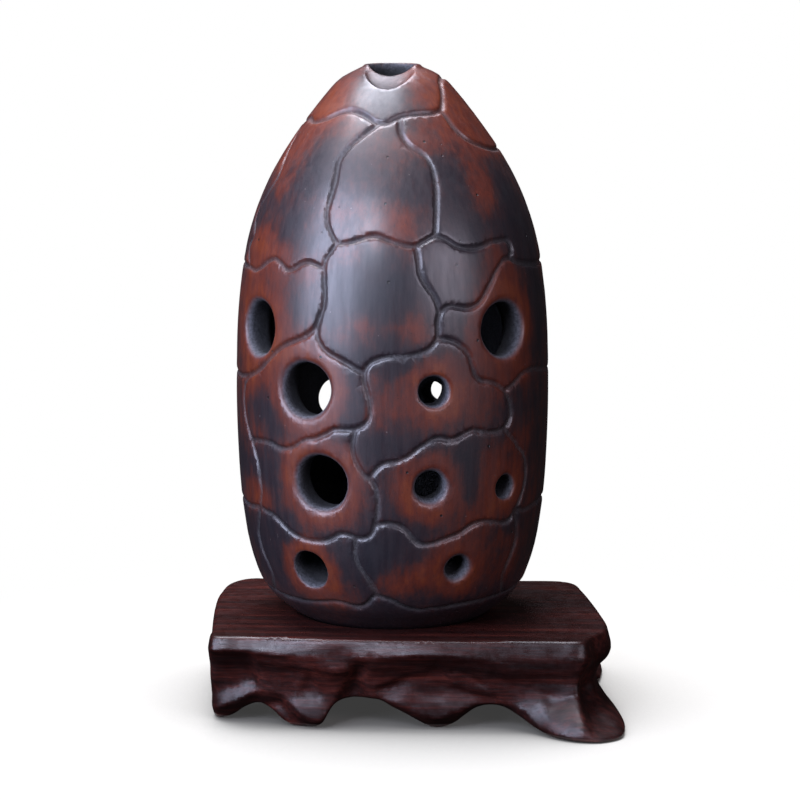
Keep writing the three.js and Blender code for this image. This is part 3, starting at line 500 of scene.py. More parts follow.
# How many times the field of each body is worn
CLAY_WEAR = 1
WOOD_WEAR = 2

# From how many voxels' area a face is broad, and how far its own direction may lie from the directions
# at its corners, as 1 less the cosine, before these are calmed
BROAD_FACE = 0.9
CALM_START = 0.0005
CALM_END = 0.003


def wave(points, scale, seed):
    """Smooth noise between -1 and 1, from sums of sines in seeded directions."""
    rng = np.random.default_rng(seed)
    total = np.zeros(points.shape[:-1])
    for octave in range(WAVE_OCTAVES):
        for _ in range(WAVES_PER_OCTAVE):
            direction = rng.normal(size=points.shape[-1])
            direction *= 2 * math.pi * WAVE_GROWTH**octave / (scale * np.linalg.norm(direction))
            total += np.sin(points @ direction + rng.uniform(0, 2 * math.pi)) / WAVE_FADE**octave
    return total / WAVES_PER_OCTAVE


def profile_distance(profile, across, heights):
    """Signed distance to an outline that is open along its foot, for every height and place across."""
    start, end = profile[:-1], profile[1:]
    run = end - start
    length = (run**2).sum(axis=1)
    field = np.empty((len(heights), len(across)))
    for row, height in enumerate(heights):
        up = np.broadcast_to(height - start[:, 1], (len(across), len(start)))
        to = np.stack([across[:, None] - start[:, 0], up], axis=-1)
        along = np.clip((to * run).sum(axis=-1) / length, 0, 1)
        off = to - along[..., None] * run
        far = np.sqrt((off**2).sum(axis=-1)).min(axis=1)
        crossing = (start[:, 1] <= height) != (end[:, 1] <= height)
        share = (height - start[:, 1]) / np.where(run[:, 1] == 0, 1, run[:, 1])
        edge = (start[:, 0] + share * run[:, 0])[crossing]
        inside = (across[:, None] < edge[None, :]).sum(axis=1) % 2 == 1
        field[row] = np.where(inside, -far, far)
    return field


def rounded_cut(body, tool, rounding):
    """Takes a tool out of a body, both as distances, and rounds off the edge between them."""
    a = body + rounding
    b = rounding - tool
    corner = np.sqrt(np.maximum(a, 0)**2 + np.maximum(b, 0)**2)
    return np.minimum(np.maximum(a, b), 0) + corner - rounding


def eased(low, high, value):
    """0 below low, 1 above high, with a soft change between."""
    share = np.clip((value - low) / (high - low), 0, 1)
    return share * share * (3 - 2 * share)


def softened(field, passes):
    """The field with its sharp edges worn a little: each voxel mixed with its neighbours."""
    for axis in list(range(3)) * passes:
        field = (field + (np.roll(field, 1, axis) + np.roll(field, -1, axis)) / 2) / 2
    return field


class Grid:
    """A block of voxels round a box, in millimetres."""

    def __init__(self, low, high, voxel):
        self.voxel = voxel
        self.low = np.array(low, float) - GRID_MARGIN
        self.counts = np.ceil((np.array(high, float) + GRID_MARGIN - self.low) / voxel).astype(int)
        self.axes = [self.low[i] + voxel * np.arange(self.counts[i]) for i in range(3)]

    def window(self, low, high):
        """Slices of the block that hold a smaller box, and the places of its voxels."""
        first = np.clip(np.floor((low - self.low) / self.voxel).astype(int), 0, self.counts)
        last = np.clip(np.ceil((high - self.low) / self.voxel).astype(int) + 1, 0, self.counts)
        cut = tuple(slice(a, b) for a, b in zip(first, last))
        return cut, lattice(*(axis[part] for axis, part in zip(self.axes, cut)))

    def sampled(self, field, places):
        """The field's values at places between the voxels."""
        at = np.clip((places - self.low) / self.voxel, 0, self.counts - 2)
        base = np.floor(at).astype(int)
        part = at - base
        total = np.zeros(len(places))
        for corner in np.ndindex(2, 2, 2):
            weight = np.prod(np.where(corner, part, 1 - part), axis=1)
            index = base + corner
            total += weight * field[index[:, 0], index[:, 1], index[:, 2]]
        return total

    def surface(self, field):
        """Points, faces and directions out of the surface where the field is zero."""
        band = BAND_VOXELS * self.voxel
        volume = openvdb.FloatGrid(band)
        volume.copyFromArray(np.clip(field, -band, band).astype(np.float32))
        points, triangles, quads = volume.convertToPolygons(isovalue=0.0, adaptivity=ADAPTIVITY)
        places = points * self.voxel + self.low
        steps = np.eye(3) * self.voxel
        out = np.stack([self.sampled(field, places + step) - self.sampled(field, places - step)
                        for step in steps], axis=1)
        out = calmed(places, triangles, quads, unit(out), self.voxel)
        return places, [*triangles.tolist(), *quads.tolist()], out


def calmed(points, triangles, quads, out, voxel):
    """Directions out, but flat where a broad face meets a sharp edge, so that it isn't shaded across."""
    flat = np.zeros_like(points)
    broadest = np.zeros(len(points))
    for faces, first, second in ((triangles, (1, 0), (2, 0)), (quads, (2, 0), (3, 1))):
        one, other = (points[faces[:, end]] - points[faces[:, start]] for end, start in (first, second))
        area_way = np.cross(one, other) / 2
        area = np.linalg.norm(area_way, axis=1)
        for corner in faces.T:
            np.add.at(flat, corner, area_way * area[:, None])
            np.maximum.at(broadest, corner, area)
    flat = unit(flat)
    flat *= np.sign((flat * out).sum(axis=1).sum())
    apart = 1 - (flat * out).sum(axis=1)
    share = eased(BROAD_FACE, 2 * BROAD_FACE, broadest / voxel**2) * eased(CALM_START, CALM_END, apart)
    return unit(out + share[:, None] * (flat - out))


def turned_distance(grid, profile):
    """Signed distance to a turned form on every voxel."""
    finer = grid.voxel / RADII_PER_VOXEL
    radii = np.arange(0, np.hypot(grid.axes[0][-1], grid.axes[1][-1]) + grid.voxel, finer)
    table = profile_distance(profile, radii, grid.axes[2])
    across = np.hypot(grid.axes[0][:, None], grid.axes[1][None, :])
    field = np.empty(grid.counts, np.float32)
    for row in range(grid.counts[2]):
        field[:, :, row] = np.interp(across, radii, table[row])
    return field


# Clay body

SEEDS_PER_SHARE = 1000
SEAM_SEED = 5


def outer_profile():
    """Outside of the clay from the middle of its base to the middle of its mouth."""
    side = [(0, 0), *((radius, height) for height, radius in EGG_LINE)]
    lip_top = XUN_HEIGHT + LIP_RISE
    return np.array(side + [((MOUTH_RIM + MOUTH_BORE) / 4, lip_top), (0, lip_top)])


def chamber_profile():
    """Inside of the clay from the middle of the chamber's floor out of the top of the neck."""
    height = XUN_HEIGHT - FLOOR_THICKNESS - ROOF_THICKNESS
    rows = [(up * height + FLOOR_THICKNESS, out * (XUN_RADIUS - WALL)) for up, out in CHAMBER_SHARES]
    side = [(radius, up) for up, radius in smooth_line(rows, SPAN_STEPS)]
    neck = MOUTH_BORE / 2
    top = XUN_HEIGHT + LIP_RISE + ROOF_THICKNESS
    roof = height + FLOOR_THICKNESS
    return np.array([(0, FLOOR_THICKNESS), *side, (neck, roof), (neck, top), (0, top)])


def hole_distance(places, azimuth, share, bore):
    """Distance to the straight bore of one finger hole."""
    point, out = on_egg(azimuth, share)
    to = places - point
    along = to @ out
    from_axis = np.linalg.norm(to - along[..., None] * out, axis=-1)
    radius = bore / 2 + BORE_WANDER * wave(places, bore, seed=int(share * SEEDS_PER_SHARE))
    return np.maximum(from_axis - radius, -(WALL + bore / 2) - along)


def bore_hole(grid, field, azimuth, share, bore, rounding):
    """One finger hole, with the worn rounding of its rim."""
    point = on_egg(azimuth, share)[0]
    reach = WALL + bore
    cut, places = grid.window(point - reach, point + reach)
    field[cut] = rounded_cut(field[cut], hole_distance(places, azimuth, share, bore), rounding)


def carve_scoop(grid, field):
    """The sloping hollow that makes the blowing edge in front of the mouth."""
    centre = np.array([0, -SCOOP_SET_FORWARD, XUN_HEIGHT + SCOOP_LIFT])
    reach = max(SCOOP_HALF_SIZE) + WINDOW_MARGIN
    cut, places = grid.window(centre - reach, centre + reach)
    tilt = math.radians(SCOOP_TILT_DEG)
    to = places - centre
    turned = np.stack([
        to[..., 0],
        math.cos(tilt) * to[..., 1] + math.sin(tilt) * to[..., 2],
        -math.sin(tilt) * to[..., 1] + math.cos(tilt) * to[..., 2]], axis=-1)
    size = np.array(SCOOP_HALF_SIZE)
    near = np.linalg.norm(turned / size, axis=-1)
    steep = np.linalg.norm(turned / size**2, axis=-1)
    tool = near * (near - 1) / np.maximum(steep, TINY)
    field[cut] = rounded_cut(field[cut], tool, SCOOP_ROUNDING)


def seam_distance(grid, lines):
    """Distance to the round-bottomed seams, whose width wanders a little, on the voxels near them."""
    points = np.concatenate(lines)
    half = SEAM_HALF_WIDTH * (1 + SEAM_WANDER_SHARE * wave(points, LARGE_BORE, seed=SEAM_SEED))
    span = int(math.ceil(SEAM_REACH / grid.voxel))
    steps = np.arange(-span, span + 1)
    around = lattice(steps, steps, steps).reshape(-1, 3)
    base = np.rint((points - grid.low) / grid.voxel).astype(int)
    near = np.full(grid.counts, FAR_AWAY, np.float32)
    flat = near.reshape(-1)
    _, y_count, z_count = near.shape
    for offset in around:
        index = base + offset
        far = np.linalg.norm(index * grid.voxel + grid.low - points, axis=1) - half
        place = (index[:, 0] * y_count + index[:, 1]) * z_count + index[:, 2]
        np.minimum.at(flat, place, far.astype(np.float32))
    return near


def clay_body():
    """The clay as points, faces and directions out, with the traits that its material reads."""
    reach = (XUN_RADIUS, XUN_RADIUS, XUN_HEIGHT + LIP_RISE)
    grid = Grid((-XUN_RADIUS, -XUN_RADIUS, 0), reach, CLAY_VOXEL)
    field = turned_distance(grid, outer_profile())
    seams = seam_distance(grid, seam_lines())
    touched = seams < FAR_AWAY
    field[touched] = rounded_cut(field[touched], seams[touched], SEAM_ROUNDING)
    chamber = turned_distance(grid, chamber_profile())
    field = rounded_cut(field, chamber, CHAMBER_ROUNDING)
    carve_scoop(grid, field)
    for azimuth, share, bore, rounding in HOLE_PLACE_SHARES:
        bore_hole(grid, field, azimuth, share, bore, rounding)
    points, faces, out = grid.surface(softened(field, CLAY_WEAR))
    sunk = egg_radius(points[:, 2]) - np.hypot(points[:, 0], points[:, 1])
    traits = {
        "seam": 1 - eased(SEAM_EDGE_IN, SEAM_EDGE_OUT, grid.sampled(seams, points)),
        "bare": bare_clay(points),
        # Painted shade, darker at the bottom of the seams
        "seam_shade": eased(SEAM_SHADE_START, SEAM_SHADE_END, sunk),
        # Painted shade, darker deep in the bores
        "bore_shade": eased(BORE_SHADE_START, BORE_SHADE_END, sunk),
        "warmth_and_shade": warmth_and_shade(points),
    }
    return points, faces, out, traits


# Traits of the clay, point by point: where a seam's dust ends, where the painted shade at the bottom of a
# seam and deep in a bore begins and ends below the surface, the fire's halos round the holes, the painted
# shade near the foot

SEAM_EDGE_IN = -0.16
SEAM_EDGE_OUT = 0.07
BARE_INSIDE_SHARE = 0.05
BARE_OUTSIDE_SHARE = 0.65
SEAM_SHADE_START = 0.16
SEAM_SHADE_END = 0.4
BORE_SHADE_START = 0.5
BORE_SHADE_END = 3.6
HALO_IN = 0.8
HALO_OUT = 4.6
HALO_WARMTH = 0.68
FOOT_SHADE = 0.2
FOOT_SHADE_SHARES = (0.12, 0.3)
MARK_EASE = 0.15


def bare_clay(points):
    """1 inside the chamber, the neck and the finger holes, where the clay was never burnished."""
    outside = egg_radius(points[:, 2]) - np.hypot(points[:, 0], points[:, 1])
    bare = eased(WALL / 2, WALL, outside) * (points[:, 2] > FLOOR_THICKNESS / 2)
    in_mouth = np.hypot(points[:, 0], points[:, 1]) < MOUTH_BORE / 2 + BORE_WANDER
    bare = np.where(points[:, 2] > XUN_HEIGHT - ROOF_THICKNESS, in_mouth, bare)
    for azimuth, share, bore, rounding in HOLE_PLACE_SHARES:
        far = hole_distance(points, azimuth, share, bore)
        covered = eased(rounding * BARE_INSIDE_SHARE, rounding * BARE_OUTSIDE_SHARE, far)
        bare = np.maximum(bare, 1 - covered)
    return bare


def warmth_and_shade(points):
    """How warm the clay turned in the fire, from marks on the front, again on the back, and halos, with
    painted shade towards the foot.
    """
    azimuth = np.degrees(np.arctan2(points[:, 0], -points[:, 1]))
    share = points[:, 2] / XUN_HEIGHT
    total = np.zeros(len(points))
    weight = np.full(len(points), MARK_EASE)
    for place, turn_reach, height, height_reach, warm in FIRE_MARK_SHARES:
        for centre in (place, 180 - place):
            turned = (azimuth - centre + 180) % 360 - 180
            mark = np.exp(-((turned / turn_reach)**2 + ((share - height) / height_reach)**2) / 2)
            total += warm * mark
            weight += mark
    # Painted shade: the clay darkens towards the foot, below about a third of its height
    field = total / weight - FOOT_SHADE * (1 - eased(*FOOT_SHADE_SHARES, share))
    for azimuth, share, bore, rounding in HOLE_PLACE_SHARES:
        far = hole_distance(points, azimuth, share, bore) - rounding
        halo = 1 - eased(HALO_IN, HALO_OUT, far)
        field = field * (1 - halo) + HALO_WARMTH * halo
    return field


# Stand

ARCH_UNDER = 2
CARVING_DEPTH = 2.6
CARVING_TOP = 16.4
CARVING_RIPPLE = 0.5
RIPPLE_SIZE = 9
RIPPLE_SEED = 11
CARVED_WHOLLY = STAND_DEPTH / 3
CARVED_PARTLY = STAND_DEPTH / 8
STEP_EDGE = 0.35
LINE_END = 2


def stand_ring(column):
    """A closed smooth line through one pair of columns of the outline table."""
    half = np.array([STAND_LENGTH, STAND_DEPTH]) / 2
    rows = np.array(STAND_OUTLINE_SHARES)[:, column:column + 2] * half
    return smooth_line(rows, STAND_RING_STEPS, closed=True)


def by_side(values, out):
    """A value of the stand on the side that directions out of it point to, blended round its corners."""
    lengthwise = np.where(out[:, 0] > 0, values["right"], values["left"])
    crosswise = np.where(out[:, 1] > 0, values["back"], values["front"])
    return lengthwise * out[:, 0]**2 + crosswise * out[:, 1]**2


def stand_block():
    """Points and faces of the block without its arches: the wall runs in to the waist, out to the bevel."""
    top, sole = stand_ring(0), stand_ring(2)
    along = unit(np.roll(top, -1, axis=0) - np.roll(top, 1, axis=0))
    out = np.stack([along[:, 1], -along[:, 0]], axis=1)
    foot_rows = np.array(BEVEL_FOOT_SHARES)
    foot_share = np.interp(top[:, 0] / (STAND_LENGTH / 2), foot_rows[:, 0], foot_rows[:, 1])
    plain_foot = 1 - BEVEL_HEIGHT / STAND_HEIGHT
    levels = [*smooth_line(STAND_WALL_SHARES, SPAN_STEPS), (plain_foot, 0, 0, 1), (1, 0, 0, 0)]
    rings = []
    for up, to_sole, waisted, overhang in levels:
        reach = max(to_sole, 0) ** by_side(FLARE_POWER, out)
        ring = top + reach[:, None] * (sole - top)
        ring = ring + out * (overhang * by_side(BEVEL_OUT, out) - waisted * by_side(WAIST, out))[:, None]
        height = up * foot_share / plain_foot if up < 1 else np.ones(len(ring))
        rings.append(np.column_stack([ring, height * STAND_HEIGHT]))
    count = len(top)
    points = np.vstack([*rings, (0, 0, 0), (0, 0, STAND_HEIGHT)])
    here = np.arange(count)
    after = (here + 1) % count
    quads = np.vstack([np.stack([here, after, after + count, here + count], axis=1) + level * count
                       for level in range(len(levels) - 1)])
    foot, crown = len(points) - 2, len(points) - 1
    last = (len(levels) - 1) * count
    caps = np.vstack([np.stack([after, here, np.full(count, foot)], axis=1),
                      np.stack([here + last, after + last, np.full(count, crown)], axis=1)])
    return points, caps, quads


def arch_distance(rows, half_span, across, heights):
    """Signed distance to the room under one arch, across its own plane."""
    crown = smooth_line(np.array(rows) * (half_span, STAND_HEIGHT), SPAN_STEPS)
    line = np.vstack([(crown[0, 0], -ARCH_UNDER), crown, (crown[-1, 0], -ARCH_UNDER)])
    return profile_distance(line, across, heights)


def beside_line(places, rows):
    """How far places lie to the right of a smooth line, and how fully it is there, 0 at its ends."""
    line = smooth_line(np.array(rows) * (STAND_LENGTH / 2, STAND_HEIGHT), SPAN_STEPS)
    start, run = line[:-1], np.diff(line, axis=0)
    length = np.linalg.norm(run, axis=1)
    passed = np.concatenate([[0], np.cumsum(length)])
    to = places[..., None, :] - start
    along = np.clip((to * run).sum(axis=-1) / length**2, 0, 1)
    off = to - along[..., None] * run
    far = np.linalg.norm(off, axis=-1)
    nearest = far.argmin(axis=-1)[..., None]
    side = np.sign(run[:, 1] * to[..., 0] - run[:, 0] * to[..., 1])
    distance, side = (np.take_along_axis(values, nearest, axis=-1)[..., 0] for values in (far, side))
    at = (passed[nearest] + np.take_along_axis(along, nearest, axis=-1) * length[nearest])[..., 0]
    return side * distance, eased(0, LINE_END, at) * eased(0, LINE_END, passed[-1] - at)


def carving(across, heights):
    """How deep the front is carved at places along it and up it, in millimetres."""
    places = lattice(across, heights)
    depth = CARVING_RIPPLE * (1 + wave(places, RIPPLE_SIZE, seed=RIPPLE_SEED)) / 2
    for share, reach, rows in CARVED_STEP_SHARES:
        beyond, there = beside_line(places, rows)
        step = eased(-STEP_EDGE, STEP_EDGE, beyond) * (1 - eased(0, reach, beyond))
        depth = np.maximum(depth, share * CARVING_DEPTH * step * there)
    for share, reach, rows in CARVED_UNDER_SHARES + CARVED_RISE_SHARES:
        beyond, there = beside_line(places, rows)
        depth = np.maximum(depth, share * CARVING_DEPTH * eased(0, reach, beyond) * there)
    for share, reach, rows in CARVED_HOLLOW_SHARES:
        outline = smooth_line(np.array(rows) * (STAND_LENGTH / 2, STAND_HEIGHT), SPAN_STEPS, closed=True)
        inside = -profile_distance(np.vstack([outline, outline[:1]]), across, heights).T
        depth = np.maximum(depth, share * CARVING_DEPTH * eased(0, reach, inside))
    below_bevel = 1 - eased(CARVING_TOP - STEP_EDGE, CARVING_TOP + STEP_EDGE, places[..., 1])
    return depth * below_bevel


def carve_front(grid, field):
    """Moves the front wall in by the depth of the carving, and leaves the rest of the block alone."""
    near_front = 1 - eased(-CARVED_WHOLLY, -CARVED_PARTLY, grid.axes[1])
    shift = carving(grid.axes[0], grid.axes[2])[:, None, :] * near_front[None, :, None] / grid.voxel
    at = np.clip(np.arange(len(near_front))[None, :, None] - shift, 0, len(near_front) - 1 - TINY)
    base = at.astype(int)
    part = at - base
    before, after = (np.take_along_axis(field, base + step, axis=1) for step in (0, 1))
    return before * (1 - part) + after * part


def seat_distance(places):
    """Distance to the round seat, which follows the foot of the xun at the clearance of the fit."""
    centre = np.array([-SEAT_LEFT_OF_MIDDLE, SEAT_BEHIND_MIDDLE])
    above = places[..., 2] - (STAND_HEIGHT - SEAT_DEPTH)
    radius = egg_radius(np.clip(above, 0, SEAT_DEPTH)) + GAP
    return np.maximum(np.linalg.norm(places[..., :2] - centre, axis=-1) - radius, -GAP - above)


def wood_body():
    """The carved stand as points, faces and directions out."""
    points, caps, quads = stand_block()
    grid = Grid(points.min(axis=0), points.max(axis=0), WOOD_VOXEL)
    band = int(math.ceil(CARVING_DEPTH / WOOD_VOXEL)) + BAND_VOXELS
    level_set = openvdb.FloatGrid.createLevelSetFromPolygons(
        (points - grid.low) / WOOD_VOXEL, triangles=caps.astype(np.uint32), quads=quads.astype(np.uint32),
        halfWidth=band)
    field = np.empty(grid.counts, np.float32)
    level_set.copyToArray(field)
    field = carve_front(grid, field * WOOD_VOXEL)
    for rows in FRONT_ARCH_SHARES:
        tool = arch_distance(rows, STAND_LENGTH / 2, grid.axes[0], grid.axes[2])
        field = rounded_cut(field, tool.T[:, None, :], ARCH_ROUNDING)
    tool = arch_distance(END_ARCH_SHARES, STAND_DEPTH / 2, grid.axes[1], grid.axes[2])
    field = rounded_cut(field, tool.T[None, :, :], ARCH_ROUNDING)
    low = np.array([-STAND_LENGTH, -STAND_DEPTH, STAND_HEIGHT - SEAT_DEPTH - ARCH_UNDER])
    high = np.array([STAND_LENGTH, STAND_DEPTH, STAND_HEIGHT + ARCH_UNDER])
    cut, places = grid.window(low, high)
    field[cut] = rounded_cut(field[cut], seat_distance(places), SEAT_ROUNDING)
    return grid.surface(softened(field, WOOD_WEAR))

# Pieces

def placed(name, data):
    """An object that shows a mesh, a lamp or a camera."""
    obj = bpy.data.objects.new(name, data)
    bpy.context.collection.objects.link(obj)
    return obj


def linked(name, points, faces):
    """An object from points and faces, in metres."""
    mesh = bpy.data.meshes.new(name)
    mesh.from_pydata(points, [], faces)
    return placed(name, mesh)


def mesh_piece(name, points, faces, out, traits):
    """A smooth-shaded piece, from points in millimetres, with its traits as values on its points."""
    piece = linked(name, (points * MM).tolist(), faces)
    mesh = piece.data
    mesh.update()
    mesh.polygons.foreach_set("use_smooth", [True] * len(mesh.polygons))
    mesh.normals_split_custom_set_from_vertices(out.tolist())
    for trait, values in traits.items():
        layer = mesh.attributes.new(trait, "FLOAT", "POINT")
        layer.data.foreach_set("value", np.asarray(values, np.float32))
    return piece


# Middle of the noises, and the share of a spot's radius within which it is full
NOISE_MIDDLE = 0.5
SPOT_CORE_SHARE = 0.6


class Nodes:
    """A small helper that adds nodes to a material or a world and links them."""

    def __init__(self, owner):
        owner.use_nodes = True
        self.owner = owner
        self.tree = owner.node_tree
        self.tree.nodes.clear()

    def add(self, kind, settings=None, **sockets):
        """A node, with each socket linked or set. A socket goes by its name, or as i0, i1 and so on."""
        node = self.tree.nodes.new("ShaderNode" + kind)
        for key, value in (settings or {}).items():
            setattr(node, key, value)
        for key, value in sockets.items():
            place = key[1:]
            socket = node.inputs[int(place) if place.isdigit() else key.replace("_", " ")]
            if isinstance(value, bpy.types.NodeSocket):
                self.tree.links.new(value, socket)
            else:
                socket.default_value = value
        return node

    def math(self, operation, first, second):
        return self.add("Math", {"operation": operation}, i0=first, i1=second).outputs[0]

    def plus(self, first, second):
        return self.math("ADD", first, second)

    def times(self, first, second):
        return self.math("MULTIPLY", first, second)

    def mapped(self, value, low, high, to_low=0.0, to_high=1.0):
        """The value eased from one range to another."""
        node = self.add("MapRange", {"interpolation_type": "SMOOTHSTEP"}, Value=value,
                        From_Min=low, From_Max=high, To_Min=to_low, To_Max=to_high)
        return node.outputs[0]

    def mix(self, share, first, second):
        return self.add("Mix", {"data_type": "RGBA"}, i0=share, i6=first, i7=second).outputs[2]

    def trait(self, name):
        return self.add("Attribute", {"attribute_name": name}).outputs["Fac"]

    def places(self, stretch=(1, 1, 1)):
        """The piece's own coordinates in millimetres, squeezed along some axes."""
        coordinates = self.add("TexCoord").outputs["Object"]
        scale = tuple(share / MM for share in stretch)
        return self.add("Mapping", Vector=coordinates, Scale=scale).outputs[0]

    def noise(self, places, grain):
        """Noise between 0 and 1, from its cells per millimetre, its detail and its roughness."""
        scale, detail, roughness = grain
        node = self.add("TexNoise", Vector=places, Scale=scale, Detail=detail, Roughness=roughness)
        return node.outputs["Fac"]

    def swing(self, places, grain):
        """The same noise, about zero."""
        return self.math("SUBTRACT", self.noise(places, grain), NOISE_MIDDLE)

    def scattered(self, places, scale, radius, rarity):
        """1 in small round spots, one to a cell and only in some of the cells."""
        cells = self.add("TexVoronoi", Vector=places, Scale=scale).outputs
        edge = radius * scale
        spot = self.mapped(cells["Distance"], edge * SPOT_CORE_SHARE, edge, 1.0, 0.0)
        chance = self.add("SeparateColor", Color=cells["Color"]).outputs[0]
        return self.times(spot, self.math("GREATER_THAN", chance, rarity))

    def ramp(self, value, stops):
        node = self.add("ValToRGB", Fac=value)
        marks = node.color_ramp.elements
        while len(marks) < len(stops):
            marks.new(1.0)
        for mark, (place, colour) in zip(marks, stops):
            mark.position = place
            mark.color = (*colour, 1)
        return node.outputs["Color"]

    def bump(self, height, depth, strength, **under):
        """Directions out over a relief of a depth in millimetres, on top of an earlier one."""
        node = self.add("Bump", Height=height, Distance=depth * MM, Strength=strength, **under)
        return node.outputs["Normal"]

    def finish(self, surface):
        self.add("OutputMaterial", Surface=surface)
        return self.owner


# Burnished clay: its colours from smoked black to orange red, then dust, bores and spots, and the colours
# of painted shade in the seams and bores
CLAY_RAMP = (
    (0.0, (0.011, 0.009, 0.013)), (0.3, (0.02, 0.011, 0.014)), (0.5, (0.037, 0.013, 0.013)),
    (0.7, (0.07, 0.015, 0.01)), (0.88, (0.1, 0.018, 0.009)), (1.0, (0.14, 0.027, 0.008)),
)
DARK_DUST = (0.02, 0.019, 0.021, 1)
PALE_DUST = (0.16, 0.156, 0.164, 1)
DARK_BORE = (0.03, 0.03, 0.036, 1)
PALE_BORE = (0.12, 0.12, 0.139, 1)
BORE_SHADE_COLOUR = (0.004, 0.004, 0.005, 1)
PIT_AND_SHADE_COLOUR = (0.008, 0.006, 0.006, 1)
SPECK_COLOUR = (0.42, 0.34, 0.32, 1)

# Noises: cells per millimetre, detail, roughness, and how the streaks and mottles are drawn out
GRIT_NOISE = (1.6, 4.0, 0.7)
DRIFT_NOISE = (0.09, 5.0, 0.6)
STREAK_NOISE = (0.9, 4.0, 0.65)
MOTTLE_NOISE = (0.55, 6.0, 0.75)
BURNISH_NOISE = (0.7, 3.0, 0.55)
RIPPLE_NOISE = (1.4, 3.0, 0.55)
STREAK_STRETCH = (1, 1, 0.1)
MOTTLE_STRETCH = (1, 1, 0.45)

# Spots: cells per millimetre, radius in millimetres, share of the cells that stay empty
PITS = (0.28, 0.34, 0.6)
SPECKS = (0.5, 0.13, 0.8)
DOTS = (1.1, 0.15, 0.45)

# How strongly each noise warms the clay, and how fully each layer covers it
DRIFT_WARMTH = 1.7
STREAK_WARMTH = 0.75
MOTTLE_WARMTH = 1.5
WARMTH_END = 1.1
SPECK_COVER = 0.35
DOT_COVER = 0.6
SEAM_SHADE_COVER = 0.6
DUST_COVER = 0.85
BORE_SHADE_COVER = 0.88

# Relief in millimetres, then ranges from and to: grit to dust and bore, noise to roughness, matte
# clay and streaks to the polish, matte clay to the strength of the grit
RIPPLE_DEPTH = 0.05
RIPPLE_STRENGTH = 0.6
GRIT_DEPTH = 0.16
PIT_DEPTH = 0.3
GRIT_TO_DUST = (0.3, 0.72)
GRIT_TO_BORE = (0.25, 0.75)
BURNISH_TO_ROUGHNESS = (0.3, 0.7, 0.42, 0.54)
MATTE_TO_POLISH = (0, 1, 0.95, 0.0)
STREAKS_TO_POLISH = (-0.2, 0.2, 0.7, 1.0)
MATTE_TO_GRIT = (0, 1, 0.2, 1.0)
MATTE_ROUGHNESS = 0.35
POLISH_ROUGHNESS = 0.31


def clay_colour(n, grit, streaks, pits, seam, bare):
    """Smoked and reddened in patches, with spots, dust in the seams and unpolished clay in the bores, and
    painted shade at the bottom of the seams, deep in the bores and towards the foot.
    """
    places = n.places()
    warm = n.trait("warmth_and_shade")
    for swing, strength in ((n.swing(places, DRIFT_NOISE), DRIFT_WARMTH), (streaks, STREAK_WARMTH),
                            (n.swing(n.places(MOTTLE_STRETCH), MOTTLE_NOISE), MOTTLE_WARMTH)):
        warm = n.plus(warm, n.times(swing, strength))
    colour = n.ramp(n.mapped(warm, -WARMTH_END, WARMTH_END), CLAY_RAMP)
    dust_and_shade = n.mix(n.mapped(grit, *GRIT_TO_DUST), DARK_DUST, PALE_DUST)
    # Painted shade: the seam dust darkens towards the bottom of each seam
    dust_and_shade = n.mix(n.times(n.trait("seam_shade"), SEAM_SHADE_COVER), dust_and_shade, PIT_AND_SHADE_COLOUR)
    bore = n.mix(n.mapped(grit, *GRIT_TO_BORE), DARK_BORE, PALE_BORE)
    # Painted shade: the bores darken with depth below the surface
    bore = n.mix(n.times(n.trait("bore_shade"), BORE_SHADE_COVER), bore, BORE_SHADE_COLOUR)
    layers = (
        (n.times(n.scattered(places, *SPECKS), SPECK_COVER), SPECK_COLOUR),
        (n.times(n.scattered(places, *DOTS), DOT_COVER), PIT_AND_SHADE_COLOUR),
        (pits, PIT_AND_SHADE_COLOUR),
        (n.times(seam, DUST_COVER), dust_and_shade),
        (bare, bore),
    )
    for cover, over in layers:
        colour = n.mix(cover, colour, over)
    return colour


def clay_material():
    """Burnished clay, polished where it is smooth and matte in its seams and holes."""
    n = Nodes(bpy.data.materials.new("burnished_clay"))
    places, upright = n.places(), n.places(STREAK_STRETCH)
    grit = n.noise(places, GRIT_NOISE)
    streaks = n.swing(upright, STREAK_NOISE)
    pits = n.scattered(places, *PITS)
    seam, bare = n.trait("seam"), n.trait("bare")
    matte = n.math("MAXIMUM", seam, bare)
    burnish = n.mapped(n.noise(upright, BURNISH_NOISE), *BURNISH_TO_ROUGHNESS)
    rough = n.plus(burnish, n.times(matte, MATTE_ROUGHNESS))
    polish = n.times(n.mapped(matte, *MATTE_TO_POLISH), n.mapped(streaks, *STREAKS_TO_POLISH))
    normal = n.bump(n.noise(upright, RIPPLE_NOISE), RIPPLE_DEPTH, RIPPLE_STRENGTH)
    normal = n.bump(grit, GRIT_DEPTH, n.mapped(matte, *MATTE_TO_GRIT), Normal=normal)
    normal = n.bump(n.math("SUBTRACT", 1.0, pits), PIT_DEPTH, 1.0, Normal=normal)
    colour = clay_colour(n, grit, streaks, pits, seam, bare)
    shader = n.add("BsdfPrincipled", Base_Color=colour, Roughness=rough, Normal=normal,
                   Coat_Weight=polish, Coat_Roughness=POLISH_ROUGHNESS)
    return n.finish(shader.outputs[0])


# Waxed wood: colours, then noises in the same form, and how they are drawn out along the stand
WOOD_RAMP = (
    (0.0, (0.007, 0.0022, 0.002)), (0.45, (0.021, 0.0047, 0.0038)), (0.75, (0.044, 0.0088, 0.0066)),
    (1.0, (0.09, 0.019, 0.0125)),
)
PORE_COLOUR = (0.006, 0.003, 0.003, 1)
FIBRE_NOISE = (1.3, 5.0, 0.65)
BAND_NOISE = (0.28, 3.0, 0.55)
PORE_NOISE = (2.2, 2.0, 0.55)
WAX_NOISE = (0.47, 4.0, 0.65)
PLANE_NOISE = (0.37, 2.0, 0.55)
GRAIN_STRETCH = (0.06, 1, 1)
PORE_STRETCH = (0.12, 1.6, 1.6)
PLANE_STRETCH = (0.4, 1, 1)

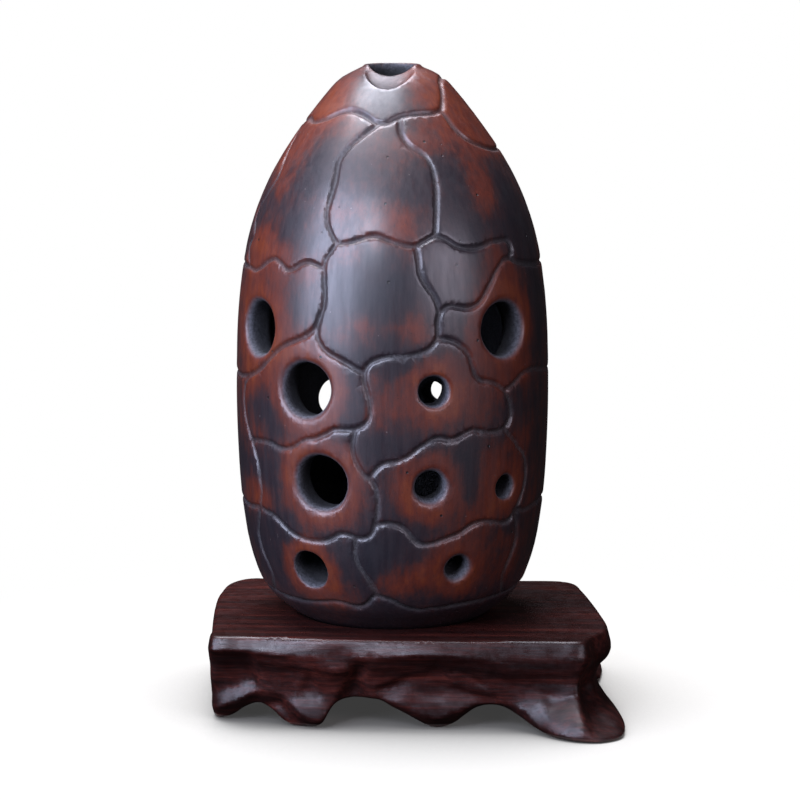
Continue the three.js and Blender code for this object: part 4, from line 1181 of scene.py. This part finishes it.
# Shares of the grain's tone, ranges from and to, relief and the ease under the bevel in millimetres
FIBRE_SHARE = 0.5
BAND_SHARE = 0.5
TONE_TO_COLOUR = (0.3, 0.72)
NOISE_TO_PORES = (0.62, 0.7)
NOISE_TO_WAX = (0.3, 0.7, 0.27, 0.4)
PORE_COVER = 0.6
PORE_ROUGHNESS = 0.15
CARVED_ROUGHNESS = 0.1
CARVED_EASE = 1
FIBRE_DEPTH = 0.1
PLANE_DEPTH = 0.14
WOOD_RELIEF_STRENGTH = 0.5
WOOD_SHINE = 0.4


def wood_material():
    """Dark red hardwood, its grain along the stand, waxed and worn, a little rougher where carved."""
    n = Nodes(bpy.data.materials.new("waxed_wood"))
    grain, places = n.places(GRAIN_STRETCH), n.places()
    fibres = n.noise(grain, FIBRE_NOISE)
    tone = n.plus(n.times(fibres, FIBRE_SHARE), n.times(n.noise(grain, BAND_NOISE), BAND_SHARE))
    pores = n.mapped(n.noise(n.places(PORE_STRETCH), PORE_NOISE), *NOISE_TO_PORES)
    colour = n.ramp(n.mapped(tone, *TONE_TO_COLOUR), WOOD_RAMP)
    colour = n.mix(n.times(pores, PORE_COVER), colour, PORE_COLOUR)
    wax = n.mapped(n.noise(places, WAX_NOISE), *NOISE_TO_WAX)
    height = n.add("SeparateXYZ", Vector=places).outputs["Z"]
    bevel_foot = STAND_HEIGHT - BEVEL_HEIGHT
    carved = n.mapped(height, bevel_foot - CARVED_EASE, bevel_foot, CARVED_ROUGHNESS, 0.0)
    rough = n.plus(n.plus(wax, carved), n.times(pores, PORE_ROUGHNESS))
    plane_marks = n.noise(n.places(PLANE_STRETCH), PLANE_NOISE)
    normal = n.bump(fibres, FIBRE_DEPTH, WOOD_RELIEF_STRENGTH)
    normal = n.bump(plane_marks, PLANE_DEPTH, WOOD_RELIEF_STRENGTH, Normal=normal)
    shader = n.add("BsdfPrincipled", Base_Color=colour, Roughness=rough, Normal=normal,
                   Specular_IOR_Level=WOOD_SHINE)
    return n.finish(shader.outputs[0])


def dress_xun():
    """The xun, turned as it stands on its foot."""
    points, faces, out, traits = clay_body()
    places = turned_about_z(points, XUN_TURN_DEG) + AXIS
    piece = mesh_piece("clay_shell", places, faces, turned_about_z(out, XUN_TURN_DEG), traits)
    piece.data.materials.append(clay_material())
    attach(piece, "xun")
    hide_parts("xun_body")


def dress_stand():
    """The stand under the xun, held inside the box of its solid."""
    points, faces, out = wood_body()
    middle = np.array([AXIS[0] + SEAT_LEFT_OF_MIDDLE, AXIS[1] - SEAT_BEHIND_MIDDLE, 0])
    low, high = (np.array(corner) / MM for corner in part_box("stand"))
    piece = mesh_piece("carved_stand", np.clip(points + middle, low, high), faces, out, {})
    piece.data.materials.append(wood_material())
    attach(piece, "stand")
    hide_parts("stand")


dress_xun()
dress_stand()

# Camera: angles in degrees, lens and distances in millimetres
VIEW_TURN_DEG = 3.25
VIEW_PITCH_DEG = 8.9
VIEW_DISTANCE = 685.71
VIEW_LENS = 141.75
VIEW_TARGET_HEIGHT = 66.11
VIEW_TARGET_RIGHT = 1.633

# Softboxes: place, what they face and size as shares of their span in metres, watts, colour
SOFTBOX_SPAN = 1.0
SOFTBOX_SHARES = {
    "side_softbox": ((-0.37, -0.36, 0.27), (0, 0, 0.085), (0.38, 0.44), 5.2, (0.68, 0.74, 1.0)),
    "top_softbox": ((-0.13, 0.02, 0.59), (-0.01, 0, 0.1), (0.3, 0.4), 5.4, (0.86, 0.88, 1.0)),
    "upper_softbox": ((-0.12, -0.41, 0.33), (-0.045, -0.035, 0.02), (0.09, 0.14), 1.0, (0.75, 0.8, 1.0)),
    "right_softbox": ((0.37, -0.38, 0.22), (0, 0, 0.09), (0.36, 0.2), 1.0, (0.88, 0.82, 1.0)),
    "mouth_softbox": ((-0.01, 0.23, 0.56), (0, 0, 0.13), (0.2, 0.2), 1.6, (0.92, 0.88, 1.0)),
}

# Floor: lengths in metres, its painted shadow as a range from how open it is to how it glows
FLOOR_SIZE = 12
FLOOR_FADE_START = 0.06
FLOOR_FADE_END = 0.15
FLOOR_SHADE_REACH = 0.08
FLOOR_SHADE_SAMPLES = 16
OPEN_TO_GLOW = (0.17, 1.0, 0.04, 0.8)
FLOOR_GRAY = (0.75, 0.75, 0.75, 1)
FLOOR_FAINT = (0.2, 0.19, 0.165, 1)
WHITE = (1, 1, 1, 1)

# Dark cards: lengths in metres, angles in degrees clockwise from the player
WALL_SIDES = 48
BACK_CARD_DISTANCE = 0.3
BACK_CARD_HEIGHT = 0.6
BACK_CARD_START_DEG = 62
BACK_CARD_END_DEG = 290
FAR_CARD_DISTANCE = 1.4
CARD_GLOW = 0.01
FAR_CARD_GLOW = 0.04
WORLD_LIGHT = 0.06


def aim(obj, direction):
    obj.rotation_euler = direction.to_track_quat("-Z", "Y").to_euler()


def add_camera():
    turn, pitch = math.radians(VIEW_TURN_DEG), math.radians(VIEW_PITCH_DEG)
    right = Vector((math.cos(turn), math.sin(turn), 0))
    back = Vector((math.sin(turn) * math.cos(pitch), -math.cos(turn) * math.cos(pitch), math.sin(pitch)))
    target = Vector((AXIS[0], AXIS[1], VIEW_TARGET_HEIGHT)) + right * VIEW_TARGET_RIGHT
    camera = placed("camera", bpy.data.cameras.new("camera"))
    camera.data.lens = VIEW_LENS
    camera.location = (target + back * VIEW_DISTANCE) * MM
    aim(camera, -back)
    bpy.context.scene.camera = camera


def add_softbox(name, place, target, size, watts, colour):
    lamp = bpy.data.lights.new(name, "AREA")
    lamp.shape = "RECTANGLE"
    lamp.size, lamp.size_y = (share * SOFTBOX_SPAN for share in size)
    lamp.energy = watts
    lamp.color = colour
    box = placed(name, lamp)
    box.location = Vector(place) * SOFTBOX_SPAN
    aim(box, Vector(target) - Vector(place))


def seen_directly(n):
    """1 for what the camera sees straight on, in a gloss or through glass, otherwise 0."""
    path = n.add("LightPath").outputs
    seen = n.math("MAXIMUM", path["Is Camera Ray"], path["Is Glossy Ray"])
    return n.math("MAXIMUM", seen, path["Is Transmission Ray"])


def level_card(half, height):
    """Points and faces of a level square card."""
    corners = ((-half, -half), (half, -half), (half, half), (-half, half))
    return [(x, y, height) for x, y in corners], [(0, 1, 2, 3)]


def upright_wall(radius, height, start_deg, end_deg):
    """Points and faces of a wall that stands round the object, by degrees clockwise from the player."""
    turns = np.radians(np.linspace(start_deg, end_deg, WALL_SIDES + 1))
    foot = np.stack([radius * np.sin(turns), -radius * np.cos(turns), np.zeros(len(turns))], axis=1)
    points = np.vstack([foot, foot + (0, 0, height)])
    count = len(turns)
    return points.tolist(), [(side, side + 1, side + 1 + count, side + count) for side in range(count - 1)]


def add_floor():
    """A pale floor, its soft shadow near the stand painted onto its glow from how closed in it is, with the
    lamps' faint cast shadow, running out into white.
    """
    floor = linked("floor", *level_card(FLOOR_SIZE / 2, 0))
    n = Nodes(bpy.data.materials.new("pale_floor"))
    coordinates = n.add("TexCoord").outputs["Object"]
    away = n.add("VectorMath", {"operation": "LENGTH"}, i0=coordinates).outputs["Value"]
    open_floor = n.mapped(away, FLOOR_FADE_START, FLOOR_FADE_END)
    # Painted shadow: the glow dims where the stand closes the floor in
    closed_in = n.add("AmbientOcclusion", {"samples": FLOOR_SHADE_SAMPLES}, Distance=FLOOR_SHADE_REACH)
    glow = n.mapped(closed_in.outputs["AO"], *OPEN_TO_GLOW)
    lit = n.add("BsdfDiffuse", Color=FLOOR_GRAY).outputs[0]
    faint = n.add("BsdfDiffuse", Color=FLOOR_FAINT).outputs[0]
    white = n.add("Emission", Color=WHITE, Strength=1.0).outputs[0]
    near = n.add("Emission", Color=WHITE, Strength=glow).outputs[0]
    keeps_shadow = n.add("AddShader", i0=near, i1=faint).outputs[0]
    shown = n.add("MixShader", i0=open_floor, i1=keeps_shadow, i2=white).outputs[0]
    surface = n.add("MixShader", i0=seen_directly(n), i1=lit, i2=shown).outputs[0]
    floor.data.materials.append(n.finish(surface))


def add_dark_cards():
    """Dark cards, out of the camera's sight, so that only the softboxes shine in the polished clay."""
    back = upright_wall(BACK_CARD_DISTANCE, BACK_CARD_HEIGHT, BACK_CARD_START_DEG, BACK_CARD_END_DEG)
    for name, (points, faces), glow in (
            ("back_card", back, CARD_GLOW),
            ("floor_card", level_card(FAR_CARD_DISTANCE, MM), CARD_GLOW),
            ("far_card", upright_wall(FAR_CARD_DISTANCE, FAR_CARD_DISTANCE, 0, 360), FAR_CARD_GLOW),
            ("ceiling", level_card(FAR_CARD_DISTANCE, FAR_CARD_DISTANCE), FAR_CARD_GLOW)):
        card = linked(name, points, faces)
        n = Nodes(bpy.data.materials.new(name))
        card.data.materials.append(n.finish(n.add("Emission", Strength=glow).outputs[0]))
        card.visible_camera = False
        card.visible_shadow = False


def add_world():
    world = bpy.data.worlds.new("studio")
    bpy.context.scene.world = world
    n = Nodes(world)
    strength = n.mapped(seen_directly(n), 0, 1, WORLD_LIGHT, 1.0)
    background = n.add("Background", Color=WHITE, Strength=strength)
    n.add("OutputWorld", Surface=background.outputs[0])


add_camera()
for softbox, settings in SOFTBOX_SHARES.items():
    add_softbox(softbox, *settings)
add_floor()
add_dark_cards()
add_world()
bpy.context.scene.view_settings.view_transform = "Standard"
